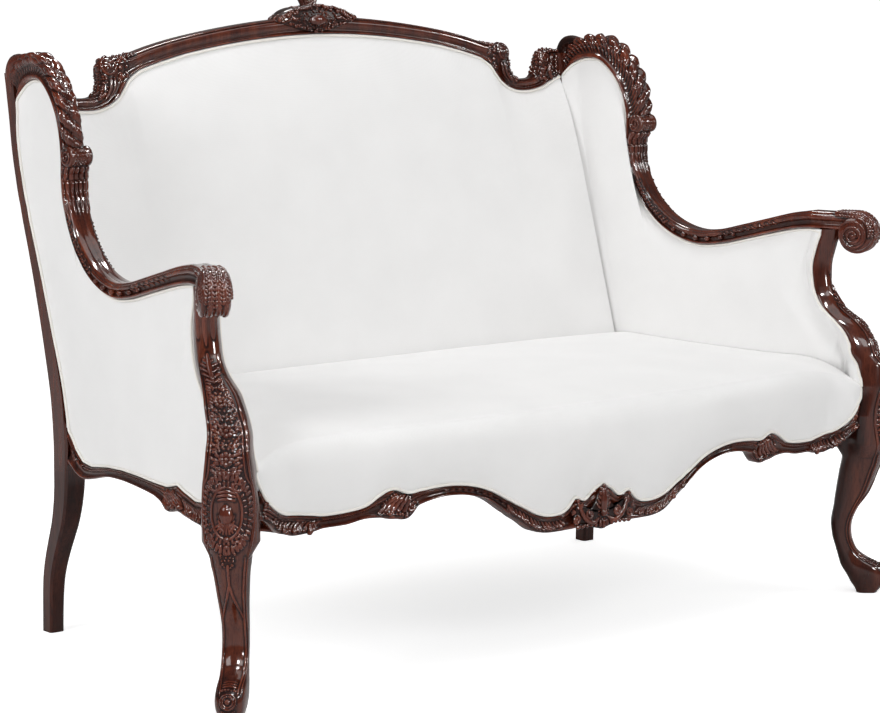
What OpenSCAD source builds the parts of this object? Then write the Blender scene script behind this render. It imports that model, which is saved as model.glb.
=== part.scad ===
// Wing-back carved settee with a tight upholstered seat, back and arms.
// X runs along the length, the front faces -Y, Z is up, and the origin is on the floor under the middle.

/* [Plan] */
// Distance between the centres of the two front legs
leg_span = 1462; // [1300:2:1700]
// How far each rear post's centre stands inside the front leg's
rear_inset = 93; // [70:1:120]
// How far the middle of each arm rail stands inside the front leg's centre, above the arm post
arm_inset = 26; // [12:1:40]
// Depth from the front leg centres to the rear post centres at the seat
leg_depth = 626; // [560:1:720]
// How far the middle of the front rail stands in front of the leg centres
front_bow = 67; // [50:1:80]
// How far the tops of the arm posts lie behind the front leg centres
arm_post_lean = 100; // [80:1:120]
// How far the tops of the rear posts lie behind the posts at the seat
back_rake = 145; // [110:1:180]
// How far the rear feet stand behind the posts at the seat
rear_splay = 60; // [30:1:80]
// How far the middle of the crest rail stands in front of its ends
crest_bow = 24; // [10:1:34]

/* [Heights] */
// Height of the front leg tops, where the arm posts stand
leg_h = 345; // [320:1:370]
// Height of the arm post tops, where the arm rails rest
arm_h = 688; // [640:1:740]
// Height of the fabric's edge at the top of each wing
wing_h = 990; // [940:1:1060]
// Rise of the fabric's edge at the middle of the crest rail over the wings' tops
crest_rise = 61; // [40:1:90]
// Rise of the flat tops of the seat rails over the front leg tops
rail_rise = 47; // [40:1:56]
// Rise of the seat over the rails where it meets the back
seat_rise = 60; // [50:1:80]

/* [Legs and posts] */
// Width across the diagonal face of a front leg at the knee
knee_w = 90; // [76:1:100]
// Width of a front leg at its slimmest, above the foot
ankle_w = 42; // [34:1:50]
// Sweep of the front legs along their diagonals
leg_sweep = 62; // [52:1:68]
// Side of an arm post at its slimmest
post_w = 38; // [32:1:42]
// Width of a rear post at the seat
rear_w = 44; // [38:1:50]
// Depth of a rear post at the seat
rear_d = 45; // [38:1:52]
// Width of a rear foot
rear_foot_w = 29; // [24:1:34]

/* [Rails] */
// Face width of an arm rail between the fabric and its outer edge
arm_face = 28; // [22:1:34]
// Thickness of an arm rail across the arm
arm_t = 44; // [38:1:50]
// Face width of a wing crest
wing_face = 42; // [34:1:50]
// Number of gadroon lobes along a wing crest
lobe_count = 11; // [7:1:13]
// Radius of the scroll at the front of an arm
scroll_r = 40; // [36:1:44]
// Outward turn of the scroll from the line of the arm
scroll_flare = 23; // [10:1:30]
// Face width of the crest rail
crest_face = 31; // [24:1:38]
// Thickness of the crest rail
crest_t = 34; // [28:1:40]
// Height of the shell at the middle of the crest rail
shell_h = 56; // [40:1:64]
// Thickness of the seat rails
rail_t = 32; // [28:1:36]
// Drop of the carved front rail below the leg tops
apron_drop = 110; // [90:1:124]

/* [Upholstery] */
// Fullness of the padding on the inside of the back
back_pad = 26; // [16:1:34]
// Fullness of the padding on the inside of an arm
arm_pad = 16; // [10:1:24]
// Crown of the seat over its edges
seat_crown = 18; // [8:1:28]
// Diameter of the piping along the show wood
welt_d = 5; // [4:0.5:6]

/* [Hidden] */
// Clearance between a soft piece and what it lies against
fit = 0.3;
// Depth of the step in a rail that takes the fabric's edge
rebate = 10;
// Thickness of a fabric border under its piping
border_t = 5;
// Thickness of the outside panels and of the bottom cloth
panel_t = 4;
cloth_t = 2;
// Webbing strip
web_w = 50;
web_t = 2;

// Reference places

crest_h = wing_h + crest_rise;
rail_top_h = leg_h + rail_rise;
seat_h = rail_top_h + seat_rise;
leg_x = leg_span / 2;
rear_x = leg_x - rear_inset;
arm_x = leg_x - arm_inset;
// The model is centred between the carving on the front rail and the back of the posts
relief = rail_t * 0.36;
front_y = relief - (front_bow + leg_depth + back_rake + rear_d / 2 + relief) / 2;
leg_y = front_y + front_bow;
rear_y = leg_y + leg_depth;
post_y = leg_y + arm_post_lean;
post_top_h = wing_h + wing_face * 0.55;
block = knee_w * 0.49;
half_l = leg_x - block;
side_rail_top = rail_top_h + web_t + fit;
cushion_low = side_rail_top + web_t + fit;
post_in_x = rear_x - rear_w / 2;

// Small tools for curves and lofts

function mix(a, b, t) = a + (b - a) * t;
function within(t) = max(0, min(1, t));
function smooth(t) = let (c = within(t)) c * c * (3 - 2 * c);
function span(a, b, n) = [for (i = [0:n]) mix(a, b, i / n)];
function total(v) = v * [for (i = v) 1];
function middle(r) = [for (k = [0:2]) total([for (p = r) p[k]]) / len(r)];

// A smooth curve through the rows of a table, with t counted in rows
function along(rows, t) =
    let (n = len(rows) - 1, c = max(0, min(n, t)), i = min(n - 1, floor(c)), f = c - i,
        a = rows[max(0, i - 1)], b = rows[i], d = rows[i + 1], e = rows[min(n, i + 2)])
    (b * 2 + (d - a) * f + (a * 2 - b * 5 + d * 4 - e) * f * f
        + (b * 3 - a - d * 3 + e) * f * f * f) / 2;

// The value that belongs to key in a table whose first column rises
function at_key(rows, key, col = 1) =
    key <= rows[0][0] ? rows[0][col] :
    let (n = len(rows), hit = [for (i = [0:n - 2]) if (key <= rows[i + 1][0]) i],
        i = len(hit) ? hit[0] : n - 2,
        f = within((key - rows[i][0]) / (rows[i + 1][0] - rows[i][0])))
    along(rows, i + f)[col];

// The same between straight rows
function straight_key(rows, key, col) =
    key <= rows[0][0] ? rows[0][col] :
    let (n = len(rows), hit = [for (i = [0:n - 2]) if (key <= rows[i + 1][0]) i],
        i = len(hit) ? hit[0] : n - 2)
    mix(rows[i][col], rows[i + 1][col], within((key - rows[i][0]) / (rows[i + 1][0] - rows[i][0])));

// A closed solid from triangles, turned the right way out
module solid(points, faces) {
    volume = total([for (f = faces) points[f[0]] * cross(points[f[1]], points[f[2]])]);
    polyhedron(points, volume > 0 ? [for (f = faces) [f[0], f[2], f[1]]] : faces, convexity = 10);
}

// A loft through rings of equal count, closed by fans at both ends
module loft(rings) {
    n = len(rings[0]);
    m = len(rings);
    points = concat([for (r = rings) each r], [middle(rings[0]), middle(rings[m - 1])]);
    sides = [for (i = [0:m - 2], j = [0:n - 1]) let (a = i * n + j, b = i * n + (j + 1) % n)
        each [[a, b, b + n], [a, b + n, a + n]]];
    ends = [for (j = [0:n - 1]) let (k = (j + 1) % n, z = (m - 1) * n)
        each [[k, j, m * n], [z + j, z + k, m * n + 1]]];
    solid(points, concat(sides, ends));
}

// A slab between two grids of points that share their layout
module slab(front, back) {
    m = len(front);
    n = len(front[0]);
    points = concat([for (r = front) each r], [for (r = back) each r]);
    o = m * n;
    faces = concat(
        [for (i = [0:m - 2], j = [0:n - 2]) let (a = i * n + j)
            each [[a, a + 1, a + n + 1], [a, a + n + 1, a + n],
                [o + a, o + a + n + 1, o + a + 1], [o + a, o + a + n, o + a + n + 1]]],
        [for (i = [0:m - 2]) let (a = i * n, b = i * n + n - 1)
            each [[a, a + n, o + a + n], [a, o + a + n, o + a],
                [b, o + b + n, b + n], [b, o + b, o + b + n]]],
        [for (j = [0:n - 2]) let (a = j, b = (m - 1) * n + j)
            each [[a, o + a + 1, a + 1], [a, o + a, o + a + 1],
                [b, b + 1, o + b + 1], [b, o + b + 1, o + b]]]);
    solid(points, faces);
}

// Rear posts: rows of height share with the share of splay below the seat and of rake above it
foot_line_shares = [[0, 1], [0.2, 0.95], [0.3, 0.88], [0.4, 0.72], [0.5, 0.5], [0.6, 0.27], [0.7, 0.12],
    [0.8, 0.04], [1, 0]];
rake_line_shares = [[0, 0], [0.13, 0.05], [0.25, 0.17], [0.37, 0.31], [0.49, 0.47], [0.63, 0.67], [0.71,
    0.775],
    [0.78, 0.845], [0.86, 0.895], [0.94, 0.955], [1, 1]];
// Rows of height share with the depth of the post and the depth left in sight, as shares of rear_d
post_depth_shares = [[0, 0.68, 0.68], [0.1, 0.7, 0.7], [0.2, 0.87, 0.87], [0.3, 0.96, 0.96], [0.4, 1, 1],
    [0.45, 1, 1],
    [0.55, 0.9, 0.78], [0.66, 0.8, 0.62], [0.75, 0.75, 0.53], [0.88, 0.75, 0.5], [0.93, 0.75, 0.66], [1,
        0.75, 0.72]];
function post_back(z) = rear_y + rear_d / 2 + (z < leg_h
    ? rear_splay * at_key(foot_line_shares, z / leg_h)
    : back_rake * at_key(rake_line_shares, (z - leg_h) / (post_top_h - leg_h)));
function rear_post_depth(z) = rear_d * at_key(post_depth_shares, z / post_top_h);
function rear_post_sight(z) = rear_d * at_key(post_depth_shares, z / post_top_h, 2);
function post_front(z) = post_back(z) - rear_post_depth(z);

// Side frame: rows of run share from the rear post to the arm post, with a height step
// A height step of 1 is the arm post top and 2 is the top of the wing's fabric
fabric_edge_shares = [[0, 1.874], [0.043, 1.967], [0.097, 2], [0.147, 1.987], [0.199, 1.907],
    [0.236, 1.801], [0.256, 1.679], [0.262, 1.56], [0.262, 1.444], [0.27, 1.331],
    [0.294, 1.202], [0.334, 1.066], [0.39, 0.959], [0.463, 0.886], [0.549, 0.851],
    [0.641, 0.866], [0.733, 0.907], [0.825, 0.95], [0.91, 0.985], [0.972, 1]];
wing_row_count = 8;
arm_end = len(fabric_edge_shares) - 1;
function level(h) = h < 1 ? mix(leg_h, arm_h, h) : mix(arm_h, wing_h, h - 1);
wing_back_y = post_front(level(fabric_edge_shares[0][1]));
function edge_yz(t) = let (s = along(fabric_edge_shares, t))
    [mix(wing_back_y, post_y, s[0]), min(level(s[1]), t > arm_end - 1 ? arm_h : wing_h)];
// Direction from the fabric to the outer edge of the wood, in the plane of the side
step_share = 0.05;
function edge_out(t) =
    let (a = edge_yz(max(0, t - step_share)), b = edge_yz(min(arm_end, t + step_share)),
        d = (b - a) / norm(b - a),
        natural = [d[1], -d[0]], level_out = [0, 1],
        z0 = edge_yz(0)[1], along_post = [post_front(post_top_h) - post_front(z0), post_top_h - z0],
        n = t < 2 ? mix(along_post / norm(along_post), natural, smooth(t / 2))
            : t > arm_end - 1.5 ? mix(natural, level_out, smooth((t - arm_end + 1.5) / 1.5)) : natural)
    n / norm(n);

// Plan line of the side frame above the seat, which turns outward in front of the arm post
turn_y = post_y + post_w;
scroll_y = post_y - scroll_r * 1.63;
function side_x(y) = mix(rear_x, arm_x, (wing_back_y - y) / (wing_back_y - post_y))
    + scroll_flare * pow(max(0, turn_y - y) / (turn_y - scroll_y), 2);
function side_turn(y) = atan((arm_x - rear_x) / (wing_back_y - post_y)
    + 2 * scroll_flare * max(0, turn_y - y) / pow(turn_y - scroll_y, 2));
// Plan line of the side at the seat rails
function rail_x(y) = mix(rear_x, leg_x, (rear_y - y) / leg_depth);
// Middle surface of the side between the rails and the arm
function wall_x(y, z) = mix(rail_x(y), side_x(y), smooth((z - leg_h) / (arm_h - leg_h)));

// A place in the side frame: n along the wood's face from the fabric, b across it
function side_spot(p, out, n, b, w = 1) =
    let (y = p[0] + out[0] * n, a = side_turn(p[0]))
    [side_x(y) + b * mix(1, cos(a), w), y + b * sin(a) * w, p[1] + out[1] * n];

// Moulded section of the side frame: shares of the face width and of half the thickness
moulding_shares = [[0, -0.58], [0.16, -0.9], [0.34, -0.8], [0.6, -0.98], [0.88, -0.84], [1, -0.4],
    [1, 0.4], [0.88, 0.84], [0.6, 0.98], [0.34, 0.8], [0.16, 0.9], [0, 0.58]];
function moulded(p, out, face, thick) =
    [for (m = moulding_shares) side_spot(p, out, m[0] * face, m[1] * thick / 2)];

// Face width of the arm rail, as shares of arm_face, from the wing down to the arm post
arm_face_shares = [[8, 0.85], [9, 0.75], [10, 0.78], [12, 0.88], [14, 0.98], [17, 1.03], [19, 1.18]];
function arm_width(t) = arm_face * at_key(arm_face_shares, t);

// The scroll: the rail's band curls down and back round an axis just under the rail
scroll_z = arm_h + arm_width(arm_end) - scroll_r;
scroll_angle = 264;
function scroll_ring(a) =
    let (turn = side_turn(scroll_y), inner = (arm_h - scroll_z) * mix(1, 0.6, smooth(a / 60)),
        outer = mix(scroll_r, scroll_r * 0.78, a / scroll_angle), wide = mix(1, 1.16, smooth(a / 90)))
    [for (m = moulding_shares)
        let (r = mix(inner, outer, m[0]), f = r * sin(a), up = r * cos(a), b = m[1] * wide * arm_t / 2)
        [side_x(scroll_y) + f * sin(turn) + b * cos(turn), scroll_y - f * cos(turn) + b * sin(turn),
            scroll_z + up]];

arm_steps = span(wing_row_count, arm_end, 13);
module arm_rail() {
    color("saddlebrown")
    loft(concat(
        [for (t = arm_steps) moulded(edge_yz(t), edge_out(t), arm_width(t), arm_t)],
        [for (s = [0.4, 0.75]) let (p = [mix(edge_yz(arm_end)[0], scroll_y, s), arm_h])
            moulded(p, [0, 1], arm_width(arm_end), arm_t)],
        [for (a = span(0, scroll_angle, 12)) scroll_ring(a)]));
}

// Gadroons: each lobe swells the outer edge and the sides of the wing crest
wing_rings = 3;
wing_lean = 0.22;
wing_face_shares = [[0, 1.1], [1, 1.14], [3, 1.12], [5, 1.02], [6.5, 0.88], [7.3, 0.8], [7.6, 0.6], [8,
    0.57]];
function lobe(t) = let (f = t * lobe_count / (wing_row_count - 0.7)) f < lobe_count ? abs(sin(180 * f)) : 0;
function wing_ring(t) =
    let (l = lobe(t), face = wing_face * at_key(wing_face_shares, t))
    [for (m = moulding_shares)
        let (swell = m[0] > 0.5 ? 1 : 0)
        side_spot(edge_yz(t), edge_out(t), face * (m[0] - swell * 0.14 * (1 - l)),
            m[1] * arm_t / 2 * (1 + swell * 0.16 * l) + m[0] * face * wing_lean * smooth((wing_row_count - t) / 2),
            within(t / 0.6))];

// The small roll under the last lobe, set into the inner side of the wing
roll_place_share = 0.8625;
roll_r = wing_face * 0.42;
roll_l = arm_t * 1.3;
module wing_crest() {
    count = lobe_count * wing_rings;
    last = wing_row_count - 0.7;
    color("saddlebrown") {
        loft(concat([for (i = [0:count]) wing_ring(last * i / count)],
            [for (t = [last + 0.25, last + 0.45, wing_row_count]) wing_ring(t)]));
        p = edge_yz(roll_place_share * wing_row_count);
        y = p[0] - roll_r - fit * 4;
        translate([side_x(y) - roll_l * 0.1, y, p[1]]) rotate([0, 90, 0]) cylinder(r = roll_r,
            h = roll_l, center = true, $fn = 48);
    }
}

// Front legs: rows of height share, then back, front and width shares of sweep, sweep and knee
leg_shares = [[0, -0.21, 0.42, 0.38], [0.023, -0.26, 0.52, 0.45], [0.058, -0.39, 0.68, 0.53],
    [0.104, -0.53, 0.71, 0.57], [0.15, -0.69, 0.55, 0.55], [0.191, -0.77, 0.1, 0.51],
    [0.24, -0.85, -0.21, 0.48], [0.313, -0.97, -0.37, 0.467], [0.397, -1.02, -0.37, 0.467],
    [0.481, -0.95, -0.18, 0.49], [0.568, -0.89, 0.11, 0.53], [0.678, -0.8, 0.35, 0.6],
    [0.76, -0.72, 0.5, 0.7]];
// A ring of a leg or post: t runs along the outward diagonal, e across it
function diagonal_spot(c, t, e, z) = [c[0] + (t + e) / sqrt(2), c[1] + (e - t) / sqrt(2), z];
round_shares = [[-1, 0], [-0.94, -0.62], [-0.6, -0.95], [0, -1], [0.62, -0.9], [0.92, -0.5],
    [1, 0], [0.92, 0.5], [0.62, 0.9], [0, 1], [-0.6, 0.95], [-0.94, 0.62]];
function leg_ring(c, back, front, width, z) = let (m = (back + front) / 2, h = (front - back) / 2)
    [for (r = round_shares) diagonal_spot(c, m + r[0] * h, r[1] * width / 2, z)];
// The square block at the rails, with its outer corner rounded
block_shares = [[-1, 1], [-1, 0.53], [-1, 0.06], [-1, -0.41], [-0.64, -0.82], [0.09, -0.91],
    [0.59, -0.59], [0.91, -0.09], [0.82, 0.64], [0.41, 1], [-0.06, 1], [-0.53, 1]];
function block_ring(c, z) = [for (b = block_shares) [c[0] + b[0] * block, c[1] + b[1] * block, z]];
function blend_rings(a, b, t) = [for (i = [0:len(a) - 1]) mix(a[i], b[i], t)];
leg_c = [leg_x, leg_y];
block_low_share = 0.84;
module front_leg() {
    ankle = ankle_w / 0.467 / knee_w;
    color("saddlebrown")
    loft(concat(
        [for (r = leg_shares) leg_ring(leg_c, r[1] * leg_sweep, r[2] * leg_sweep, r[3] * knee_w * ankle,
            r[0] * leg_h)],
        [block_ring(leg_c, block_low_share * leg_h), block_ring(leg_c, leg_h)]));
}

// Arm posts: rows of height share, then the centre's shares of the inward and backward lean,
// and the width and depth as shares of post_w
arm_post_shares = [[0.16, -0.12, -0.04, 2.18, 1.68], [0.277, -0.1, -0.03, 1.95, 1.66], [0.335, 0.23,
    0.08, 1.87, 1.52],
    [0.394, 0.27, 0.14, 1.79, 1.44], [0.452, 0.38, 0.26, 1.71, 1.42], [0.51, 0.65, 0.45, 1.55, 1.4],
    [0.569, 0.92, 0.71, 1.26, 1.2], [0.627, 1.04, 0.87, 1.1, 1.08], [0.685, 1.1, 0.95, 1.05, 1.05],
    [0.8, 1.08, 1, 1.05, 1.05], [0.918, 0.88, 0.93, 1.05, 1.05], [1, 0.7, 0.86, 1.1, 1.05]];
function arm_post_c(s) = let (r = [for (k = [1:2]) at_key(arm_post_shares, s, k)])
    [leg_x - (leg_x - arm_x) * (s < arm_post_shares[0][0] ? 0 : r[0]), leg_y + arm_post_lean * r[1]];
function arm_post_depth(s) = post_w * at_key(arm_post_shares, s, 4);
function arm_post_width(s) = post_w * at_key(arm_post_shares, s, 3);
module arm_post() {
    color("saddlebrown")
    loft(concat([block_ring(leg_c, leg_h)],
        [for (r = arm_post_shares) let (s = r[0])
            leg_ring(arm_post_c(s), -arm_post_depth(s) / 2, arm_post_depth(s) / 2, post_w * r[3],
                mix(leg_h, arm_h, s))]));
}
// The rearmost line of the arm post, which the fabric's edge follows
function arm_post_back(z) = let (s = (z - leg_h) / (arm_h - leg_h), w = arm_post_width(s),
    d = arm_post_depth(s),
        block_y = leg_y + block, post = arm_post_c(s)[1] + max(0.95 * w + 0.6 * d,
            0.62 * w + 0.94 * d) / 2 / sqrt(2),
        low = arm_post_shares[0][0])
    s < low ? mix(block_y, post, within(s / low)) : post;

// Rear posts, sawn to a raked and splayed line, with a step for the outside fabric
fabric_z0 = level(fabric_edge_shares[0][1]);
rear_heights = [0, 0.08, 0.16, 0.25, 0.33, cushion_low / post_top_h, 0.5, 0.6, 0.7, 0.8, 0.9,
    fabric_z0 / post_top_h, 0.984];
edge_round = rear_w * 0.09;
step_d = rear_w * 0.18;
module rear_post() {
    color("saddlebrown")
    loft([for (h = rear_heights)
        let (z = h * post_top_h, w = mix(rear_foot_w, rear_w, smooth(z / leg_h)) / 2, y1 = post_back(z),
            y0 = post_front(z),
            hide = rear_post_depth(z) - rear_post_sight(z), r = edge_round, x = post_in_x + rear_w / 2,
            cut = z < cushion_low ? r : step_d, back = max(r, hide), k = z < cushion_low ? 0.5 : 0)
        [[x - w, y0 + r, z], [x - w + r, y0, z], [x + w - cut, y0, z], [x + w - cut * (1 - k),
            y0 + back * (1 - k), z],
         [x + w, y0 + back, z], [x + w, y1 - r, z], [x + w - r, y1, z], [x - w + r, y1, z], [x - w,
             y1 - r, z]]]);
}

// Crest rail: rows of length share with a drop, for the fabric's edge and for the upper edge
// The length share is of the half span between the posts, and the drop is a share of crest_drop
crest_foot_share = 1.79;
crest_drop = crest_h - level(crest_foot_share);
crest_low_shares = [[0, 0], [0.12, 0.02], [0.245, 0.065], [0.365, 0.135], [0.485, 0.23], [0.575, 0.335],
    [0.65, 0.445], [0.69, 0.57], [0.71, 0.71], [0.728, 0.82], [0.757, 0.92], [0.8, 0.99], [0.852, 1],
    [0.91, 0.955], [0.95, 0.88], [0.98, 0.82], [1, 0.79]];
crest_high_shares = [[0, -0.26], [0.127, -0.235], [0.252, -0.18], [0.377, -0.1], [0.498, 0], [0.597, 0.11],
    [0.682, 0.23], [0.735, 0.27], [0.776, 0.37], [0.78, 0.6], [0.786, 0.74], [0.812, 0.82], [0.852, 0.825],
    [0.893, 0.79], [0.919, 0.57], [0.95, 0.39], [1, 0.38]];
crest_last = len(crest_low_shares) - 1;
crest_lean = 0.2;
function crest_front(x, z) = post_front(min(z, post_top_h)) + crest_lean * max(0, z - post_top_h)
    + crest_t * 0.08 - crest_bow * (1 - pow(x / post_in_x, 2));
function crest_xz(rows, t) = let (s = along(rows, t)) [s[0] * post_in_x, crest_h - s[1] * crest_drop];
crest_section_shares = [[0, 0.16], [0.1, 0.02], [0.3, 0.14], [0.55, 0.12], [0.82, 0], [1, 0.2], [1,
    0.86], [0.85, 1], [0.1, 1], [0, 0.86]];
function crest_ring(t, side) =
    let (low = crest_xz(crest_low_shares, t), high = crest_xz(crest_high_shares, t),
        tall = low + (high - low) * crest_face / crest_drop * 4)
    [for (s = crest_section_shares)
        let (p = mix(low, tall, s[0])) [side * p[0], crest_front(p[0], p[1]) + s[1] * crest_t, p[1]]];
module crest_rail() {
    color("saddlebrown")
    loft(concat([for (t = [crest_last:-1:1]) crest_ring(t, -1)], [for (t = [0:crest_last]) crest_ring(t,
        1)]));
}
// Height of the fabric's edge under the crest rail at a length from the middle, and the lengths it bends at
function crest_low_z(x) = crest_h - crest_drop * straight_key(crest_low_shares, abs(x) / post_in_x, 1);
crest_steps = [for (i = [-crest_last:crest_last]) sign(i) * crest_low_shares[abs(i)][0]];

// Carved shell and plume at the middle of the crest rail
shell_w = crest_face * 3.2;
shell_outline_shares = [[-1, 0.3], [-0.8, 0.44], [-0.62, 0.66], [-0.42, 0.78], [-0.26, 0.94], [0, 1],
    [0.26, 0.94], [0.42, 0.78], [0.62, 0.66], [0.8, 0.44], [1, 0.3], [0.6, 0.12], [0.3, 0.05],
    [0, 0.03], [-0.3, 0.05], [-0.6, 0.12]];
boss_r = crest_face * 0.42;
plume_shares = [[-0.45, 0], [-0.5, 0.3], [-1, 0.62], [-0.6, 0.86], [0, 1], [0.6, 0.86], [1, 0.62], [0.5,
    0.3], [0.45, 0]];
plume_w = crest_face * 0.66;
plume_h = shell_h * 0.95;
module crest_shell() {
    z = crest_h;
    y = crest_front(0, crest_h);
    d = crest_t * 0.36;
    top = crest_h - crest_high_shares[0][1] * crest_face * 4 + fit / 2;
    lean = atan(crest_lean);
    color("saddlebrown") {
        translate([0, y, z]) rotate([90 - lean, 0, 0]) {
            linear_extrude(d) polygon([for (s = shell_outline_shares) [s[0] * shell_w, s[1] * shell_h]]);
            translate([0, shell_h * 0.5, d])
                rotate_extrude($fn = 48) polygon([[0, 0], [boss_r, 0], [boss_r * 0.9, boss_r * 0.3],
                    [boss_r * 0.5, boss_r * 0.55], [0, boss_r * 0.62]]);
        }
        translate([0, y + crest_t * 0.8, top]) rotate([90, 0, 0]) linear_extrude(crest_t * 0.5)
            polygon([for (s = plume_shares) [s[0] * plume_w, s[1] * plume_h]]);
    }
}

// Front rail: rows of length share, then the drops of its upper and lower edges as shares of apron_drop
apron_shares = [[0, 0.39, 1.02], [0.03, 0.46, 1.02], [0.058, 0.59, 1], [0.09, 0.54, 1.02], [0.114, 0.68,
    1.02],
    [0.138, 0.75, 1.02], [0.18, 0.75, 1.01], [0.218, 0.68, 0.95], [0.255, 0.555, 0.79], [0.291, 0.436,
        0.64],
    [0.354, 0.227, 0.38], [0.412, 0.11, 0.255], [0.466, 0.064, 0.218], [0.51, 0.064, 0.236], [0.56, 0.09,
        0.31],
    [0.582, 0.11, 0.46], [0.598, 0.1, 0.5], [0.619, 0.045, 0.482], [0.638, 0.03, 0.47], [0.662, 0.08,
        0.436],
    [0.707, 0.236, 0.427], [0.754, 0.29, 0.48], [0.815, 0.31, 0.5], [0.84, 0.29, 0.54], [0.888, 0.255,
        0.57],
    [0.917, 0.236, 0.52], [0.955, 0.18, 0.47], [1, 0.136, 0.43]];
flat_share = 0.116;
rail_bow = front_bow + block * 0.27;
function apron_y(x) = front_y + rail_bow * pow(max(0, abs(x) / half_l - flat_share) / (1 - flat_share), 2);
function apron_top(x) = leg_h - apron_drop * at_key(apron_shares, abs(x) / half_l, 1);
function apron_low(x) = leg_h - apron_drop * at_key(apron_shares, abs(x) / half_l, 2);
function apron_ring(x) =
    let (y = apron_y(x), hi = apron_top(x), lo = apron_low(x), tall = hi - lo, lip = rail_t * 0.14)
    [[x, y + lip * 1.4, lo], [x, y, lo + tall * 0.16], [x, y + lip * 0.7, lo + tall * 0.45], [x, y,
        hi - tall * 0.16],
     [x, y + lip, hi], [x, y + rebate, hi], [x, y + rebate, rail_top_h], [x, y + rail_t, rail_top_h],
     [x, y + rail_t, lo + lip], [x, y + rail_t - lip, lo]];
apron_last = len(apron_shares) - 1;
apron_steps = [for (i = [-apron_last:apron_last]) sign(i) * apron_shares[abs(i)][0]];
module front_seat_rail() {
    color("saddlebrown")
    loft([for (s = apron_steps) apron_ring(s * half_l)]);
}

// Carved cartouche at the middle of the front rail: shares of its half width and of its height
cartouche_w = half_l * 0.105;
cartouche_h = apron_drop * 0.73;
cartouche_shares = [[0, 1], [0.18, 0.93], [0.3, 0.76], [0.52, 0.6], [0.72, 0.64], [0.86, 0.77], [0.98,
    0.64],
    [1, 0.4], [0.8, 0.3], [0.62, 0.16], [0.36, 0.2], [0.2, 0.04], [0, 0]];
module apron_cartouche() {
    top = apron_top(0) - fit;
    half = [for (s = cartouche_shares) [s[0] * cartouche_w, (s[1] - 1) * cartouche_h]];
    other = [for (i = [len(half) - 2:-1:1]) [-half[i][0], half[i][1]]];
    color("saddlebrown") translate([0, front_y, top]) {
        rotate([90, 0, 0]) linear_extrude(relief) polygon(concat(half, other));
        translate([0, -relief, -cartouche_h * 0.46]) rotate([90, 0, 0])
            rotate_extrude($fn = 48) polygon([[0, 0], [relief, 0], [relief * 0.8, relief * 0.35], [0,
                relief * 0.5]]);
    }
}

// Side rails: rows of length share from the front, then drops below leg_h of the upper and lower edges
side_rail_shares = [[0, 0.06, 0.45], [0.044, 0.045, 0.41], [0.1, 0.073, 0.39], [0.172, 0, 0.355], [0.22,
    -0.064, 0.327],
    [0.29, 0.018, 0.38], [0.33, 0.022, 0.27], [0.38, 0.025, 0.21], [0.492, 0.018, 0.18], [0.6, 0.025,
        0.173],
    [0.71, 0.065, 0.21], [0.825, 0.15, 0.336], [0.89, 0.125, 0.39], [0.94, -0.02, 0.36], [0.97, -0.2,
        0.3], [1, -0.36, 0.26]];
function side_sight(y) = let (s = (y - leg_y - block) / (post_front(leg_h) - leg_y - block))
    leg_h - apron_drop * straight_key(side_rail_shares, s, 1);
module side_rail() {
    y0 = leg_y + block;
    y1 = post_front(leg_h);
    color("saddlebrown")
    loft([for (s = [for (r = side_rail_shares) r[0]])
        let (y = mix(y0, y1, s), x = rail_x(y), hi = side_sight(y),
            lo = leg_h - apron_drop * at_key(side_rail_shares, s, 2), tall = hi - lo, o = rail_t / 2,
                lip = rail_t * 0.14)
        [[x + o - lip * 1.4, y, lo], [x + o, y, lo + tall * 0.2], [x + o - lip * 0.6, y, lo + tall * 0.5],
         [x + o, y, hi - tall * 0.2], [x + o - lip, y, hi], [x + o - rebate, y, hi], [x + o - rebate, y,
             side_rail_top],
         [x - o, y, side_rail_top], [x - o, y, lo + lip], [x - o + lip, y, lo]]]);
}

// Rear seat rail, between the rear posts
rear_rail_low = leg_h - apron_drop * 0.2;
module rear_seat_rail() {
    color("peru") translate([-post_in_x, rear_y - rail_t / 2, rear_rail_low])
        cube([post_in_x * 2, rail_t, rail_top_h - rear_rail_low]);
}

// Bearer from the front rail to the rear rail under the webbing
module seat_stretcher() {
    w = rail_t * 1.4;
    y0 = front_y + rail_t;
    y1 = rear_y - rail_t / 2;
    low = leg_h;
    sag = (rail_top_h - leg_h) / 2;
    color("peru") translate([-w / 2, 0, 0]) rotate([90, 0, 90]) linear_extrude(w)
        polygon([[y0, low], [y1, low], [y1, rail_top_h - web_t], [mix(y0, y1, 0.85), low + sag], [mix(y0,
            y1, 0.15), low + sag],
            [y0, rail_top_h - web_t]]);
}

// Glued corner blocks inside the rails
module corner_blocks() {
    h = rail_top_h - leg_h - rail_t * 0.3;
    size = knee_w * 0.9;
    y_rail = rear_y - rail_t / 2 - fit / 2;
    y_post = post_front(leg_h) - fit;
    y_back = leg_y + block + fit / 2;
    x_post = post_in_x - fit;
    inner = rail_t / 2 + fit / 2;
    color("peru") for (side = [-1, 1]) translate([0, 0, leg_h]) linear_extrude(h) {
        polygon([[side * (rail_x(y_post - size) - inner), y_post - size],
            [side * (rail_x(y_post) - inner), y_post],
            [side * x_post, y_post], [side * x_post, y_rail], [side * (x_post - size), y_rail]]);
        polygon([[side * (half_l - fit), y_back], [side * (rail_x(y_back) - inner), y_back],
            [side * (rail_x(y_back + size) - inner), y_back + size],
            [side * (half_l - size), apron_y(half_l) + rail_t + fit / 2], [side * (half_l - fit),
                apron_y(half_l) + rail_t + fit / 2]]);
    }
}

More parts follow.
